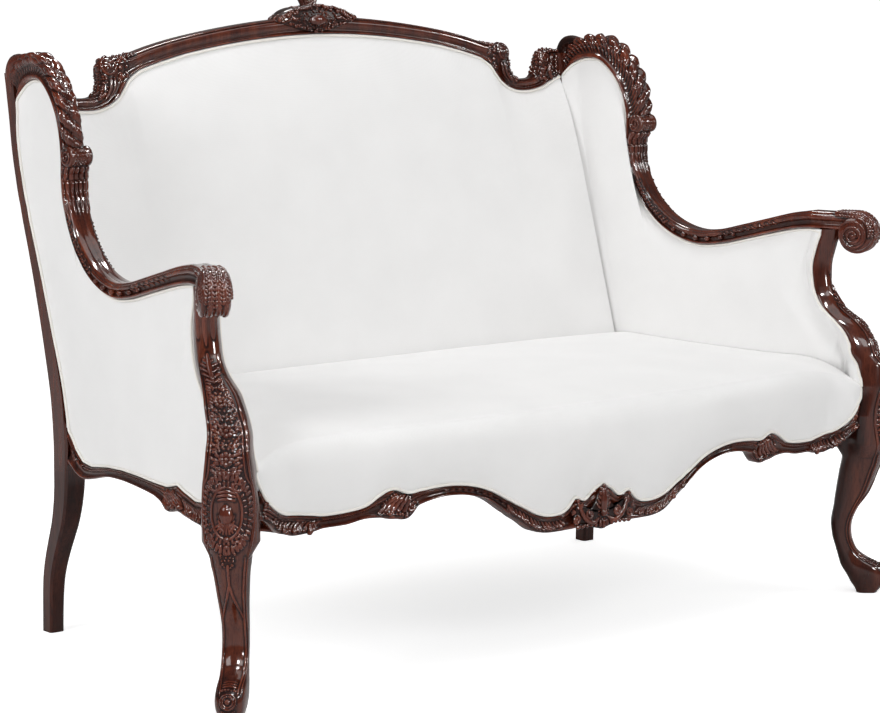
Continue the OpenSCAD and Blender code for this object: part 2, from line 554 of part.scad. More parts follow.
// Surface that the inside back is laid on: straight at the seat and bowed at the crest
back_low_z = seat_h - seat_crown;
back_step = rear_d * 0.55;
function back_y(x, z) = let (top = crest_low_z(x), s = (z - back_low_z) / (top - back_low_z))
    mix(rear_y - back_step, crest_front(x, top) + crest_t * 0.2, s);

tack_low = seat_h - seat_crown * 2.6;
tack_h = rail_t;
slat_t = rear_d * 0.4;
module back_bottom_rail() {
    y = rear_y - back_step;
    color("peru") translate([-post_in_x, y + fit, tack_low]) cube([post_in_x * 2, slat_t, tack_h]);
}
module back_slats() {
    w = rear_w;
    z = tack_low + tack_h;
    color("peru") for (side = [-1, 1]) {
        x = side * post_in_x * 0.33;
        loft([for (s = span(0, 1, 4)) [for (c = [[-1, 0], [1, 0], [1, 1], [-1, 1]])
            let (px = x + c[0] * w / 2, pz = mix(z, crest_low_z(px) - fit / 2, s))
            [px, back_y(px, pz) + fit + c[1] * slat_t, pz]]]);
    }
}

// Slats inside the arms that the fabric is tacked to
arm_slat_h = rail_t * 0.9;
module arm_tack_rail() {
    z = seat_h - seat_crown;
    color("peru") loft([for (s = span(0, 1, 6)) [for (c = [[-1, 0], [1, 0], [1, 1], [-1, 1]])
        let (pz = z + c[1] * arm_slat_h, y = mix(max(arm_post_back(z), arm_post_back(pz)) + fit,
            post_front(pz) - fit, s))
        [wall_x(y, pz) + c[0] * border_t * 0.7, y, pz]]]);
}

// Webbing: strips from front to back, and cross strips over them
web_count = 9;
module seat_webbing() {
    color("dimgray") for (i = [0:web_count - 1]) {
        x = mix(-half_l + web_w * 2, half_l - web_w * 2, i / (web_count - 1));
        y0 = max(apron_y(x - web_w / 2), apron_y(x + web_w / 2)) + rebate + rail_t * 0.1;
        translate([x - web_w / 2, y0, rail_top_h]) cube([web_w, rear_y + rail_t * 0.3 - y0, web_t]);
    }
}
module cross_webbing() {
    color("dimgray") for (i = [0:2]) {
        y = mix(leg_y + block + web_w, rear_y - rail_t / 2 - web_w * 1.4, i / 2);
        x = rail_x(y) - rail_t * 0.2 - web_w * 0.14;
        translate([-x, y - web_w / 2, side_rail_top]) cube([2 * x, web_w, web_t]);
    }
}

// Inner face of an arm's padding, which the sides of the seat meet
function arm_full(u) = let (s = within((u - 0.03) / 0.97)) pow(1 - pow(abs(2 * s - 1), 8), 0.7);
function pad_x(y, z) = wall_x(y, z) - border_t * 2 - arm_pad;
corner_x = leg_x - post_w * 0.88;
border_w = welt_d * 1.4;
back_face = border_t + back_pad;

// Seat: rings across the length, each a closed outline from the front edge over the top to the back
function seat_side(y, z) = min(mix(half_l, corner_x, within((z - leg_h) / (arm_h - leg_h) / arm_post_shares[0][0])),
    z < leg_h ? half_l : pad_x(y, z) - border_t * 0.3) - fit;
function seat_ring(s) =
    let (x0 = s * half_l, yf = apron_y(x0), hi = apron_top(x0) + fit, k = 1 - pow(abs(s), 4),
        e = 1 - pow(abs(s), 10),
        edge_z = seat_h - seat_crown * (0.35 + 2 * (1 - e)), puff = rebate * k, crown = seat_crown * k,
        seam = seat_h - rebate * 0.4, xb = s * post_in_x, depth = back_y(xb, seam) - back_face - fit - yf,
        rows = [[rebate - fit, hi], [fit, hi], [fit, hi + border_w], [-puff * 0.8, mix(hi, edge_z, 0.25)],
            [-puff * 1.3, mix(hi, edge_z, 0.5)], [-puff, mix(hi, edge_z, 0.8)], [rebate * 0.6,
                edge_z - rebate * 0.3],
            [rail_t * 0.8, edge_z + rebate * 0.4], [depth * 0.2, seat_h - rebate + crown * 1.1],
            [depth * 0.42, seat_h - rebate + crown * 1.5], [depth * 0.72,
                seat_h - rebate * 0.8 + crown * 1.2],
            [depth - rebate, seam + crown * 0.3], [back_y(xb, seam - rebate) - back_face - fit - yf,
                seam - rebate],
            [back_y(xb, cushion_low) - back_face - fit - yf, cushion_low], [rebate - fit, cushion_low]])
    [for (r = rows) let (y = yf + r[0], z = r[1]) [s * seat_side(y, z), y, z]];
module seat_cushion() {
    color("whitesmoke") loft([for (s = apron_steps) seat_ring(s)]);
}

// Padding grids: each column runs from the bottom edge to a flat border under the piping
function swell(s) = pow(max(0, 1 - pow(2 * s - 1, 8)), 0.7);
pad_rows = [0, 0.12, 0.4, 0.68, 0.86, 0.95];
module inside_back() {
    half = post_in_x - fit;
    grid = [for (u = crest_steps) let (x = u * half, top = crest_low_z(x) - fit) concat(
        [for (v = pad_rows) [x, mix(cushion_low + fit, top - border_w, v), 1 - pow(v, 7)]],
        [[x, top - border_w, 0], [x, top, 0]])];
    color("whitesmoke") slab(
        [for (c = grid) [for (p = c) [p[0], back_y(p[0], p[1]) - border_t
            - back_pad * p[2] * (1 - 0.3 * pow(abs(p[0]) / half, 16)), p[1]]]],
        [for (c = grid) [for (p = c) [p[0], back_y(p[0], p[1]) - fit, p[1]]]]);
}

// The side's fabric: columns meet the wing at its lobes, the arm rail and the arm post at their rings
wing_steps = [for (i = [0:lobe_count]) i * (wing_row_count - 0.7) / lobe_count];
wood_steps = concat(wing_steps, arm_steps);
wood_last = len(wood_steps) - 1;
post_steps = [for (i = [len(arm_post_shares) - 2:-1:0]) mix(leg_h, arm_h, arm_post_shares[i][0])];
knee_steps = [mix(leg_h, post_steps[len(post_steps) - 1], 0.5), leg_h];
edge_fit = fit * 1.5;
function side_tops(lowest) = concat(
    [for (t = wood_steps) let (p = edge_yz(t), out = edge_out(t)) [p - out * edge_fit, p - out * border_w]],
    [for (z = concat(post_steps, lowest)) let (y = arm_post_back(z) + fit) [[y, z], [y + border_w * 1.4,
        z]]]);
// Bottom ends of the columns, which take in every bend of the side rail from the rear to the front
rail_last = len(side_rail_shares) - 1;
bottom_shares = concat([1], [for (i = [rail_last:-1:1]) let (n = i > rail_last - 4 || i < 4 ? 2 : 3)
    each [for (j = [1:n]) mix(side_rail_shares[i][0], side_rail_shares[i - 1][0], j / n)]]);
function side_bottom_y(f) = let (g = f * (len(bottom_shares) - 1), i = min(len(bottom_shares) - 2,
    floor(g)))
    mix(leg_y + block + fit, post_front(leg_h) - fit, mix(bottom_shares[i], bottom_shares[i + 1], g - i));
// Heights of the rear column, which are those of the rear post's rings
function rear_z(j, low) = j == 0 ? low : j < 6 ? rear_heights[j + 5] * post_top_h : fabric_z0 - (j == 6 ? border_w : edge_fit);
side_rows = [0, 0.16, 0.36, 0.62, 0.84, 0.93];
function side_grid(low, lowest, outside) =
    let (tops = side_tops(lowest), n = len(tops) - 1)
    [for (k = [0:n])
        let (y = side_bottom_y(k / n), z = min(low > 0 ? low : side_sight(y) + fit * 2,
            tops[k][0][1] - fit),
            w = k > 0 && k <= wood_last ? 1 : 0, q = len(side_rows))
        [for (j = [0:q + 1])
            let (v = j < q ? side_rows[j] : 1, p = j < q ? mix([y, z], tops[k][1], v) : tops[k][q + 1 - j],
                h = rear_z(j, z), back = post_back(h) - (outside ? rear_post_sight(h) : rear_post_depth(h)) - fit)
            k == 0 ? [back, h, 0, v, 0] : [p[0], p[1], k / n, v, w * v]]];
function side_place(x, y, b, z, w) = let (a = side_turn(y)) [x + b * mix(1, cos(a), w),
    y + b * sin(a) * w, z];
// Distance of each face from the middle of the side; both swing out to the rear post's faces
inner_b = border_t * 2;
function near_post(y, z) = smooth(1 + (y - post_front(z)) / rear_d);
function inner_face(y, z) = mix(inner_b, wall_x(y, z) - post_in_x - fit, near_post(y, z));
module inside_arm() {
    grid = side_grid(cushion_low, [], false);
    color("whitesmoke") slab(
        [for (c = grid) [for (p = c) let (full = arm_full(p[2]) * (1 - pow(p[3], 8)))
            side_place(wall_x(p[0], p[1]), p[0], -inner_face(p[0],
                p[1]) - arm_pad * full * (1 - near_post(p[0], p[1])), p[1], p[4])]],
        [for (c = grid) [for (p = c) side_place(wall_x(p[0], p[1]), p[0], -border_t, p[1], p[4])]]);
}
outer_b = rail_t / 2 - rebate + fit * 2;
function outer_face(y, z) = mix(outer_b, post_in_x + rear_w - step_d + fit - wall_x(y, z), near_post(y, z));
module outside_arm() {
    grid = side_grid(0, knee_steps, true);
    color("whitesmoke") slab(
        [for (c = grid) [for (p = c) side_place(wall_x(p[0], p[1]), p[0],
            outer_face(p[0], p[1]) + panel_t * (1 + sin(180 * p[2]) * pow(sin(180 * p[3]), 2)), p[1],
                p[4])]],
        [for (c = grid) [for (p = c) side_place(wall_x(p[0], p[1]), p[0], outer_face(p[0], p[1]), p[1],
            p[4])]]);
}
module outside_back() {
    rows = [0, 0.3, 0.6, 0.85, 1];
    grid = [for (u = crest_steps) let (x = u * (post_in_x - fit), top = crest_low_z(x) - fit)
        [for (v = rows) [x, mix(rear_y + rail_t / 2 + fit, crest_front(x, top) + crest_t * 0.8, v),
            mix(leg_h, top, v)]]];
    color("whitesmoke") slab([for (r = grid) [for (p = r) p + [0, panel_t, 0]]], grid);
}

// Thin cloth under the seat, inside the rails
module dust_cover() {
    z = leg_h - apron_drop * 0.14;
    front = [for (s = apron_steps) let (x = s * (half_l - fit)) [x, apron_y(x) + rail_t + fit]];
    y_rail = rear_y - rail_t / 2 - fit;
    y_post = post_front(z) - fit;
    y_side = leg_y + block + fit;
    x_post = post_in_x - fit;
    x_side = rail_x(y_side) - rail_t / 2 - fit;
    x_back = rail_x(y_post) - rail_t / 2 - fit;
    half = [[half_l - fit, y_side], [x_side, y_side], [x_back, y_post], [x_post, y_post], [x_post, y_rail]];
    other = [for (i = [len(half) - 1:-1:0]) [-half[i][0], half[i][1]]];
    color("dimgray") translate([0, 0, z]) linear_extrude(cloth_t) polygon(concat(front, half, other));
}

// Piping: a cord swept along points, flattened to four sides
module cord(path, up) {
    n = len(path) - 1;
    loft([for (i = [0:n])
        let (d = path[min(n, i + 1)] - path[max(0, i - 1)], t = d / norm(d), s0 = cross(t, up),
            s = s0 / norm(s0), w = cross(s, t))
        [for (k = [[1, 1], [-1, 1], [-1, -1], [1, -1]]) path[i] + (s * k[0] + w * k[1]) * welt_r]]);
}
welt_r = welt_d * 0.42;
welt_in = fit + welt_r * 1.1;
module seat_piping() {
    x_end = corner_x - fit;
    z_end = mix(leg_h, arm_h, 0.2);
    y_end = apron_y(half_l) - welt_r - fit * 3;
    rise = [for (s = [1, 0.66, 0.33, 0]) let (z = mix(apron_top(half_l) + fit + welt_in, z_end, s))
        [seat_side(y_end, z) - welt_r * 2, y_end, z]];
    color("ivory") cord(concat([for (p = rise) [-p[0], p[1], p[2]]],
        [for (i = [1:2 * apron_last - 1]) let (x = apron_steps[i] * half_l) [x, apron_y(x) - welt_r,
            apron_top(x) + fit + welt_in]],
        [for (i = [3:-1:0]) rise[i]]), [0, -1, 0]);
}
module inside_back_piping() {
    color("ivory") cord([for (i = [1:2 * crest_last - 1]) let (x = crest_steps[i] * (post_in_x - fit),
        z = crest_low_z(x) - fit - welt_in)
        [x, back_y(x, z) - border_t - welt_r - fit * 2, z]], [0, -1, 0]);
}
// Piping round the side's fabric, on its flat border
function side_cord(lowest, inside) =
    let (tops = side_tops(lowest)) [for (k = [1:len(tops) - 1])
        let (p = mix(tops[k][0], tops[k][1], welt_in / border_w), w = k <= wood_last ? 1 : 0, y = p[0],
            z = p[1], off = welt_r + fit * (inside ? 4 : 2))
        side_place(wall_x(y, z), y, inside ? -inner_face(y, z) - off : outer_face(y, z) + panel_t + off,
            z, w)];
module inner_piping() {
    color("ivory") cord(side_cord([], true), [-1, 0, 0]);
}
module outer_piping() {
    b = panel_t + welt_r + fit * 2;
    low = [for (s = [for (i = [1:rail_last - 1]) side_rail_shares[i][0]])
        let (y = mix(leg_y + block, post_front(leg_h), s), z = side_sight(y) + fit * 2 + welt_in)
        side_place(wall_x(y, z), y, outer_face(y, z) + b, z, 0)];
    rear = [for (i = [6:10])
        let (z = rear_heights[i] * post_top_h, y = post_back(z) - rear_post_sight(z) - fit - welt_in)
        side_place(wall_x(y, z), y, outer_face(y, z) + b, z, 0)];
    color("ivory") cord(concat(rear, side_cord([knee_steps[0]], false), low), [1, 0, 0]);
}

module both(side) {
    if (side > 0) children();
    else mirror([1, 0, 0]) children();
}

both(-1) front_leg();  // left_front_leg
both(1) front_leg();  // right_front_leg
both(-1) arm_post();  // left_arm_post
both(1) arm_post();  // right_arm_post
both(-1) rear_post();  // left_rear_post
both(1) rear_post();  // right_rear_post
both(-1) arm_rail();  // left_arm_rail
both(1) arm_rail();  // right_arm_rail
both(-1) wing_crest();  // left_wing_crest
both(1) wing_crest();  // right_wing_crest
crest_rail();
crest_shell();
front_seat_rail();
apron_cartouche();
both(-1) side_rail();  // left_side_rail
both(1) side_rail();  // right_side_rail
rear_seat_rail();
seat_stretcher();
corner_blocks();
back_bottom_rail();
back_slats();
both(-1) arm_tack_rail();  // left_arm_tack_rail
both(1) arm_tack_rail();  // right_arm_tack_rail
seat_webbing();
cross_webbing();
seat_cushion();
inside_back();
both(-1) inside_arm();  // left_inside_arm
both(1) inside_arm();  // right_inside_arm
both(-1) outside_arm();  // left_outside_arm
both(1) outside_arm();  // right_outside_arm
outside_back();
dust_cover();
seat_piping();
inside_back_piping();
both(-1) inner_piping();  // left_inside_piping
both(1) inner_piping();  // right_inside_piping
both(-1) outer_piping();  // left_outside_piping
both(1) outer_piping();  // right_outside_piping
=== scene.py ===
from math import cos, pi, radians, sin, sqrt

import bpy
import numpy as np
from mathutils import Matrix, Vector
from mathutils.bvhtree import BVHTree
from mathutils.kdtree import KDTree


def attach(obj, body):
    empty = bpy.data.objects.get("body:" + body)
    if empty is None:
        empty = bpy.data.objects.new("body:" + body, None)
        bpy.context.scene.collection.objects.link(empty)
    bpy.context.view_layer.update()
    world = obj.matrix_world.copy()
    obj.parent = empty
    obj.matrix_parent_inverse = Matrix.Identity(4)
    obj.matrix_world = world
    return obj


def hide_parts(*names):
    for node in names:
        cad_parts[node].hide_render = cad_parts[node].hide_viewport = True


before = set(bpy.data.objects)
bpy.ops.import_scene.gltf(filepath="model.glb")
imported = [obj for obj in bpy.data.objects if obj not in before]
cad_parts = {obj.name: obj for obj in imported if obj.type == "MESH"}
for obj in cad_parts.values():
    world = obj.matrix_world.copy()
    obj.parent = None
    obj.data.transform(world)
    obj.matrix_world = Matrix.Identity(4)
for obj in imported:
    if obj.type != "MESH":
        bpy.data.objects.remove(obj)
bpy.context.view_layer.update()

# Lengths below are in millimetres unless a name ends in _m, and MM turns them into metres
MM = 0.001
bpy.ops.object.select_all(action="DESELECT")
scene = bpy.context.scene
# Each half of the sofa: the sign of its x and the word in its names
sides = ((-1, "left"), (1, "right"))

# The driving sizes, as in the part
leg_span, rear_span, arm_span = 1462, 1276, 1410
leg_depth, front_bow, arm_post_lean, back_rake, rear_splay, crest_bow = 626, 67, 100, 145, 60, 24
leg_h, arm_h, wing_h, crest_h, rail_top_h, seat_h = 345, 688, 990, 1051, 392, 452
knee_w, ankle_w, leg_sweep, post_w, rear_w, rear_d, rear_foot_w = 90, 42, 62, 38, 44, 45, 29
arm_face, arm_t, wing_face, lobe_count, scroll_r, scroll_flare = 28, 44, 42, 11, 40, 23
crest_t, rail_t, apron_drop = 34, 32, 110
back_pad, arm_pad, seat_crown, welt_d = 26, 16, 18, 5
fit, rebate, border_t, panel_t, web_t = 0.3, 10, 5, 4, 2

leg_x, rear_x, arm_x = leg_span / 2, rear_span / 2, arm_span / 2
relief = rail_t * 0.36
front_y = relief - (front_bow + leg_depth + back_rake + rear_d / 2 + relief) / 2
leg_y = front_y + front_bow
rear_y = leg_y + leg_depth
post_y = leg_y + arm_post_lean
post_top_h = wing_h + wing_face * 0.55
block = knee_w * 0.49
half_l = leg_x - block
side_rail_top = rail_top_h + web_t + fit
cushion_low = side_rail_top + web_t + fit
post_in_x = rear_x - rear_w / 2


def mix(a, b, t):
    return a + (b - a) * t


def points(*coordinates):
    """Coordinates, each an array or a number, as one array of points."""
    return np.stack(np.broadcast_arrays(*coordinates), -1)


def within(t):
    return np.clip(t, 0, 1)


def smooth(t):
    c = within(t)
    return c * c * (3 - 2 * c)


def along(rows, t):
    """A smooth curve through the rows of a table, with t counted in rows."""
    rows = np.asarray(rows, float)
    last = len(rows) - 1
    t = np.clip(np.asarray(t, float), 0, last)
    i = np.minimum(np.floor(t).astype(int), last - 1)
    f = (t - i).reshape(t.shape + (1,) * (rows.ndim - 1))
    a, b, d, e = rows[np.maximum(i - 1, 0)], rows[i], rows[i + 1], rows[np.minimum(i + 2, last)]
    straight = b * 2 + (d - a) * f
    return (straight + (a * 2 - b * 5 + d * 4 - e) * f * f + (b * 3 - a - d * 3 + e) * f ** 3) / 2


def key_t(rows, key):
    """Where a key lies in a table whose first column rises, counted in rows."""
    k = np.asarray(rows, float)[:, 0]
    i = np.clip(np.searchsorted(k, key, side="left") - 1, 0, len(k) - 2)
    return i + within((key - k[i]) / (k[i + 1] - k[i]))


def at_key(rows, key, col=1):
    return along(rows, key_t(rows, np.asarray(key, float)))[..., col]


def ring_of(corners, count):
    """A closed smooth outline through corners, with count samples."""
    closed = list(corners[-1:]) + list(corners) + list(corners[:2])
    return along(closed, 1 + np.arange(count) / count * len(corners))


# Rear posts: shares of height with splay and rake, then with depth and the depth in sight
foot_line = [[0, 1], [0.2, 0.95], [0.3, 0.88], [0.4, 0.72], [0.5, 0.5], [0.6, 0.27], [0.7, 0.12],
             [0.8, 0.04], [1, 0]]
rake_line = [[0, 0], [0.13, 0.05], [0.25, 0.17], [0.37, 0.31], [0.49, 0.47], [0.63, 0.67], [0.71, 0.775],
             [0.78, 0.845], [0.86, 0.895], [0.94, 0.955], [1, 1]]
post_depths = [[0, 0.68, 0.68], [0.1, 0.7, 0.7], [0.2, 0.87, 0.87], [0.3, 0.96, 0.96], [0.4, 1, 1],
               [0.45, 1, 1], [0.55, 0.9, 0.78], [0.66, 0.8, 0.62], [0.75, 0.75, 0.53], [0.88, 0.75, 0.5],
               [0.93, 0.75, 0.66], [1, 0.75, 0.72]]


def post_back(z):
    z = np.asarray(z, float)
    foot = rear_splay * at_key(foot_line, z / leg_h)
    rake = back_rake * at_key(rake_line, (z - leg_h) / (post_top_h - leg_h))
    return rear_y + rear_d / 2 + np.where(z < leg_h, foot, rake)


def post_depth(z, col=1):
    return rear_d * at_key(post_depths, np.asarray(z) / post_top_h, col)


def post_front(z):
    return post_back(z) - post_depth(z)


# The line of the fabric's edge along the wing and the arm, as in the part
fabric_edge = [[0, 1.874], [0.043, 1.967], [0.097, 2], [0.147, 1.987], [0.199, 1.907], [0.236, 1.801],
               [0.256, 1.679], [0.262, 1.56], [0.262, 1.444], [0.27, 1.331], [0.294, 1.202], [0.334, 1.066],
               [0.39, 0.959], [0.463, 0.886], [0.549, 0.851], [0.641, 0.866], [0.733, 0.907], [0.825, 0.95],
               [0.91, 0.985], [0.972, 1]]
wing_end, arm_end = 8, 19


def level(h):
    h = np.asarray(h, float)
    return np.where(h < 1, mix(leg_h, arm_h, h), mix(arm_h, wing_h, h - 1))


wing_back_y = float(post_front(level(fabric_edge[0][1])))


def edge_yz(t):
    t = np.asarray(t, float)
    s = along(fabric_edge, t)
    z = np.minimum(level(s[..., 1]), np.where(t > arm_end - 1, arm_h, wing_h))
    return points(mix(wing_back_y, post_y, s[..., 0]), z)


def unit(v):
    return v / np.linalg.norm(v, axis=-1, keepdims=True)


def edge_out(t):
    t = np.asarray(t, float)
    step = 0.05
    d = unit(edge_yz(np.minimum(arm_end, t + step)) - edge_yz(np.maximum(0, t - step)))
    natural = points(d[..., 1], -d[..., 0])
    z0 = float(edge_yz(0.0)[1])
    up_post = unit(np.array([float(post_front(post_top_h) - post_front(z0)), post_top_h - z0]))
    w = smooth(t / 2)[..., None]
    v = smooth((t - arm_end + 1.5) / 1.5)[..., None]
    n = np.where(t[..., None] < 2, mix(up_post, natural, w), mix(natural, np.array([0.0, 1.0]), v))
    return unit(n)


turn_y = post_y + post_w
scroll_y = post_y - scroll_r * 1.63


def side_x(y):
    y = np.asarray(y, float)
    base = mix(rear_x, arm_x, (wing_back_y - y) / (wing_back_y - post_y))
    return base + scroll_flare * (np.maximum(0, turn_y - y) / (turn_y - scroll_y)) ** 2


def side_turn(y):
    return np.arctan((side_x(y - 0.05) - side_x(y)) / 0.05)


def rail_x(y):
    return mix(rear_x, leg_x, (rear_y - y) / leg_depth)


def wall_x(y, z):
    return mix(rail_x(y), side_x(y), smooth((z - leg_h) / (arm_h - leg_h)))


def side_spot(p, out, n, b, w=1.0):
    y = p[..., 0] + out[..., 0] * n
    z = p[..., 1] + out[..., 1] * n
    a = side_turn(p[..., 0])
    return points(side_x(y) + b * mix(1, np.cos(a), w), y + b * np.sin(a) * w, z)


# Mesh making: grids of points, their normals and the faces between them
def grid_normals(P, closed):
    du = np.gradient(P, axis=0)
    dv = (np.roll(P, -1, 1) - np.roll(P, 1, 1)) if closed else np.gradient(P, axis=1)
    n = np.cross(du, dv)
    return n / np.maximum(np.linalg.norm(n, axis=-1, keepdims=True), 1e-9)


def read(items, key, width=1, kind=float):
    """One property of a mesh's items, with width numbers to an item."""
    values = np.empty(len(items) * width, kind)
    items.foreach_get(key, values)
    return values.reshape(-1, width) if width > 1 else values


# A hollow value is 0.5 on even ground, and reaches 1 or 0 where a point lies this far in or out
hollow_depth_m = 0.00225
# The surroundings of a point are found twice, after so many rounds of evening out
even_rounds = (3, 9)


def hollows(mesh):
    """How deep each point lies below its surroundings, from 0 on a crest to 1 in a hollow."""
    place = read(mesh.vertices, "co", 3)
    edges = read(mesh.edges, "vertices", 2, int)
    count = np.zeros(len(place))
    np.add.at(count, edges.ravel(), 1)
    count = np.maximum(count, 1)[:, None]
    soft = place.copy()
    depth = 0
    for i in range(max(even_rounds)):
        total = np.zeros_like(soft)
        np.add.at(total, edges[:, 0], soft[edges[:, 1]])
        np.add.at(total, edges[:, 1], soft[edges[:, 0]])
        soft = total / count
        if i + 1 in even_rounds:
            depth = depth + (soft - place)
    depth = (depth * read(mesh.vertices, "normal", 3)).sum(1)
    return within(0.5 + depth / (2 * hollow_depth_m))


def finish_mesh(name, made, side, look, nodes=(), smooth_angle=None, tones=None):
    """Makes a piece from points in millimetres and faces, and gives it its look, body and nodes."""
    verts, faces = made
    verts = np.array(verts, float) * MM
    verts[:, 0] *= side
    quads = [list(map(int, f)) for f in faces]
    tri = np.array([[f[0], f[i], f[i + 1]] for f in quads for i in range(1, len(f) - 1)])
    a, b, c = verts[tri[:, 0]], verts[tri[:, 1]], verts[tri[:, 2]]
    if float((a * np.cross(b, c)).sum()) < 0:
        quads = [f[::-1] for f in quads]
    mesh = bpy.data.meshes.new(name)
    mesh.from_pydata(verts.tolist(), [], quads)
    mesh.update()
    mesh.materials.append(look)
    mesh.polygons.foreach_set("use_smooth", np.ones(len(mesh.polygons), bool))
    piece = bpy.data.objects.new(name, mesh)
    scene.collection.objects.link(piece)
    if smooth_angle:
        bpy.ops.object.select_all(action="DESELECT")
        piece.select_set(True)
        bpy.context.view_layer.objects.active = piece
        bpy.ops.object.shade_smooth_by_angle(angle=radians(smooth_angle))
        piece.select_set(False)
    if tones is None:
        tones = hollows(mesh)
    # The hollow values go into the polish as painted shade in hollows and painted highlight on crests
    layer = mesh.attributes.new("hollow", "FLOAT", "POINT")
    layer.data.foreach_set("value", tones.astype(np.float32))
    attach(piece, "root")
    if nodes:
        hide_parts(*nodes)
    return piece


def wood(name, made, side, look, nodes=(), smooth_angle=None, tones=None):
    return finish_mesh(name, made, side, look, nodes, smooth_angle, tones)


def darken(piece, value_at):
    """Raises a piece's hollow values, and so its painted shade, to those that value_at gives for its points
    and normals.
    """
    place = read(piece.data.vertices, "co", 3, np.float32)
    normal = read(piece.data.vertex_normals, "vector", 3, np.float32)
    layer = piece.data.attributes["hollow"].data
    value = read(layer, "value", 1, np.float32)
    layer.foreach_set("value", np.maximum(value, value_at(place, normal)).astype(np.float32))


def grid_faces(m, n, closed, start=0):
    i, j = np.meshgrid(np.arange(m - 1), np.arange(n if closed else n - 1), indexing="ij")
    k = (j + 1) % n
    return points(i * n + j, i * n + k, (i + 1) * n + k, (i + 1) * n + j).reshape(-1, 4) + start


def tube(P):
    """Points and faces of a closed tube from a grid of rings, with fans at both ends."""
    m, n = P.shape[:2]
    verts = np.concatenate([P.reshape(-1, 3), P[0].mean(0)[None], P[-1].mean(0)[None]])
    faces = [list(f) for f in grid_faces(m, n, True)]
    for j in range(n):
        k = (j + 1) % n
        faces.append([k, j, m * n])
        faces.append([(m - 1) * n + j, (m - 1) * n + k, m * n + 1])
    return verts, faces


def shell(front, back):
    """Points and faces of a slab between two open grids that share their layout."""
    m, n = front.shape[:2]
    o = m * n
    verts = np.concatenate([front.reshape(-1, 3), back.reshape(-1, 3)])
    faces = [list(f) for f in grid_faces(m, n, False)] + [list(f[::-1]) for f in grid_faces(m, n, False, o)]
    rim = [j for j in range(n)] + [i * n + n - 1 for i in range(1, m)]
    rim += [(m - 1) * n + j for j in range(n - 2, -1, -1)] + [i * n for i in range(m - 2, 0, -1)]
    for a, b in zip(rim, rim[1:] + rim[:1]):
        faces.append([b, a, a + o, b + o])
    return verts, faces


def joined(parts):
    """Several points-and-faces pairs as one."""
    verts, faces, start = [], [], 0
    for v, f in parts:
        verts.append(v)
        faces += [[i + start for i in face] for face in f]
        start += len(v)
    return np.concatenate(verts), faces


class Skin:
    """Places on a grid of rings: s runs along its start column, w round each ring from that column."""

    def __init__(self, P, start, axis=0):
        self.P = P
        self.n = P.shape[1]
        normal = grid_normals(P, True)
        if float((normal * (P - P.mean(1, keepdims=True))).sum()) < 0:
            normal = -normal
        self.normal = normal
        line = P[:, start]
        self.key = line[:, axis]
        self.s = np.concatenate([[0], np.cumsum(np.linalg.norm(np.diff(line, axis=0), axis=1))])
        order = (start + np.arange(self.n + 1)) % self.n
        step = np.linalg.norm(np.diff(P[:, order], axis=1), axis=-1)
        self.order = order
        self.round = np.concatenate([np.zeros((len(P), 1)), np.cumsum(step, 1)], 1)

    def find(self, value):
        """Distance along the start column at which its key, a coordinate of it, reaches value."""
        return float(np.interp(value, self.key, self.s))

    def at(self, s, w):
        u = float(np.interp(s, self.s, np.arange(len(self.s))))
        i = min(int(u), len(self.s) - 2)
        spots = []
        for row in (i, i + 1):
            way = self.round[row]
            v = float(np.interp(w % way[-1], way, np.arange(self.n + 1)))
            j = min(int(v), self.n - 1)
            a, b = self.order[j], self.order[j + 1]
            spots.append([mix(grid[row, a], grid[row, b], v - j) for grid in (self.P, self.normal)])
        return [mix(x, y, u - i) for x, y in zip(*spots)]


# The line of a leaf's lobe, along and across its rib, in shares of the leaf's half width there
leaf_lobe = ((0, 0), (0.34, 0.42), (0.62, 0.86), (0.55, 1.12))


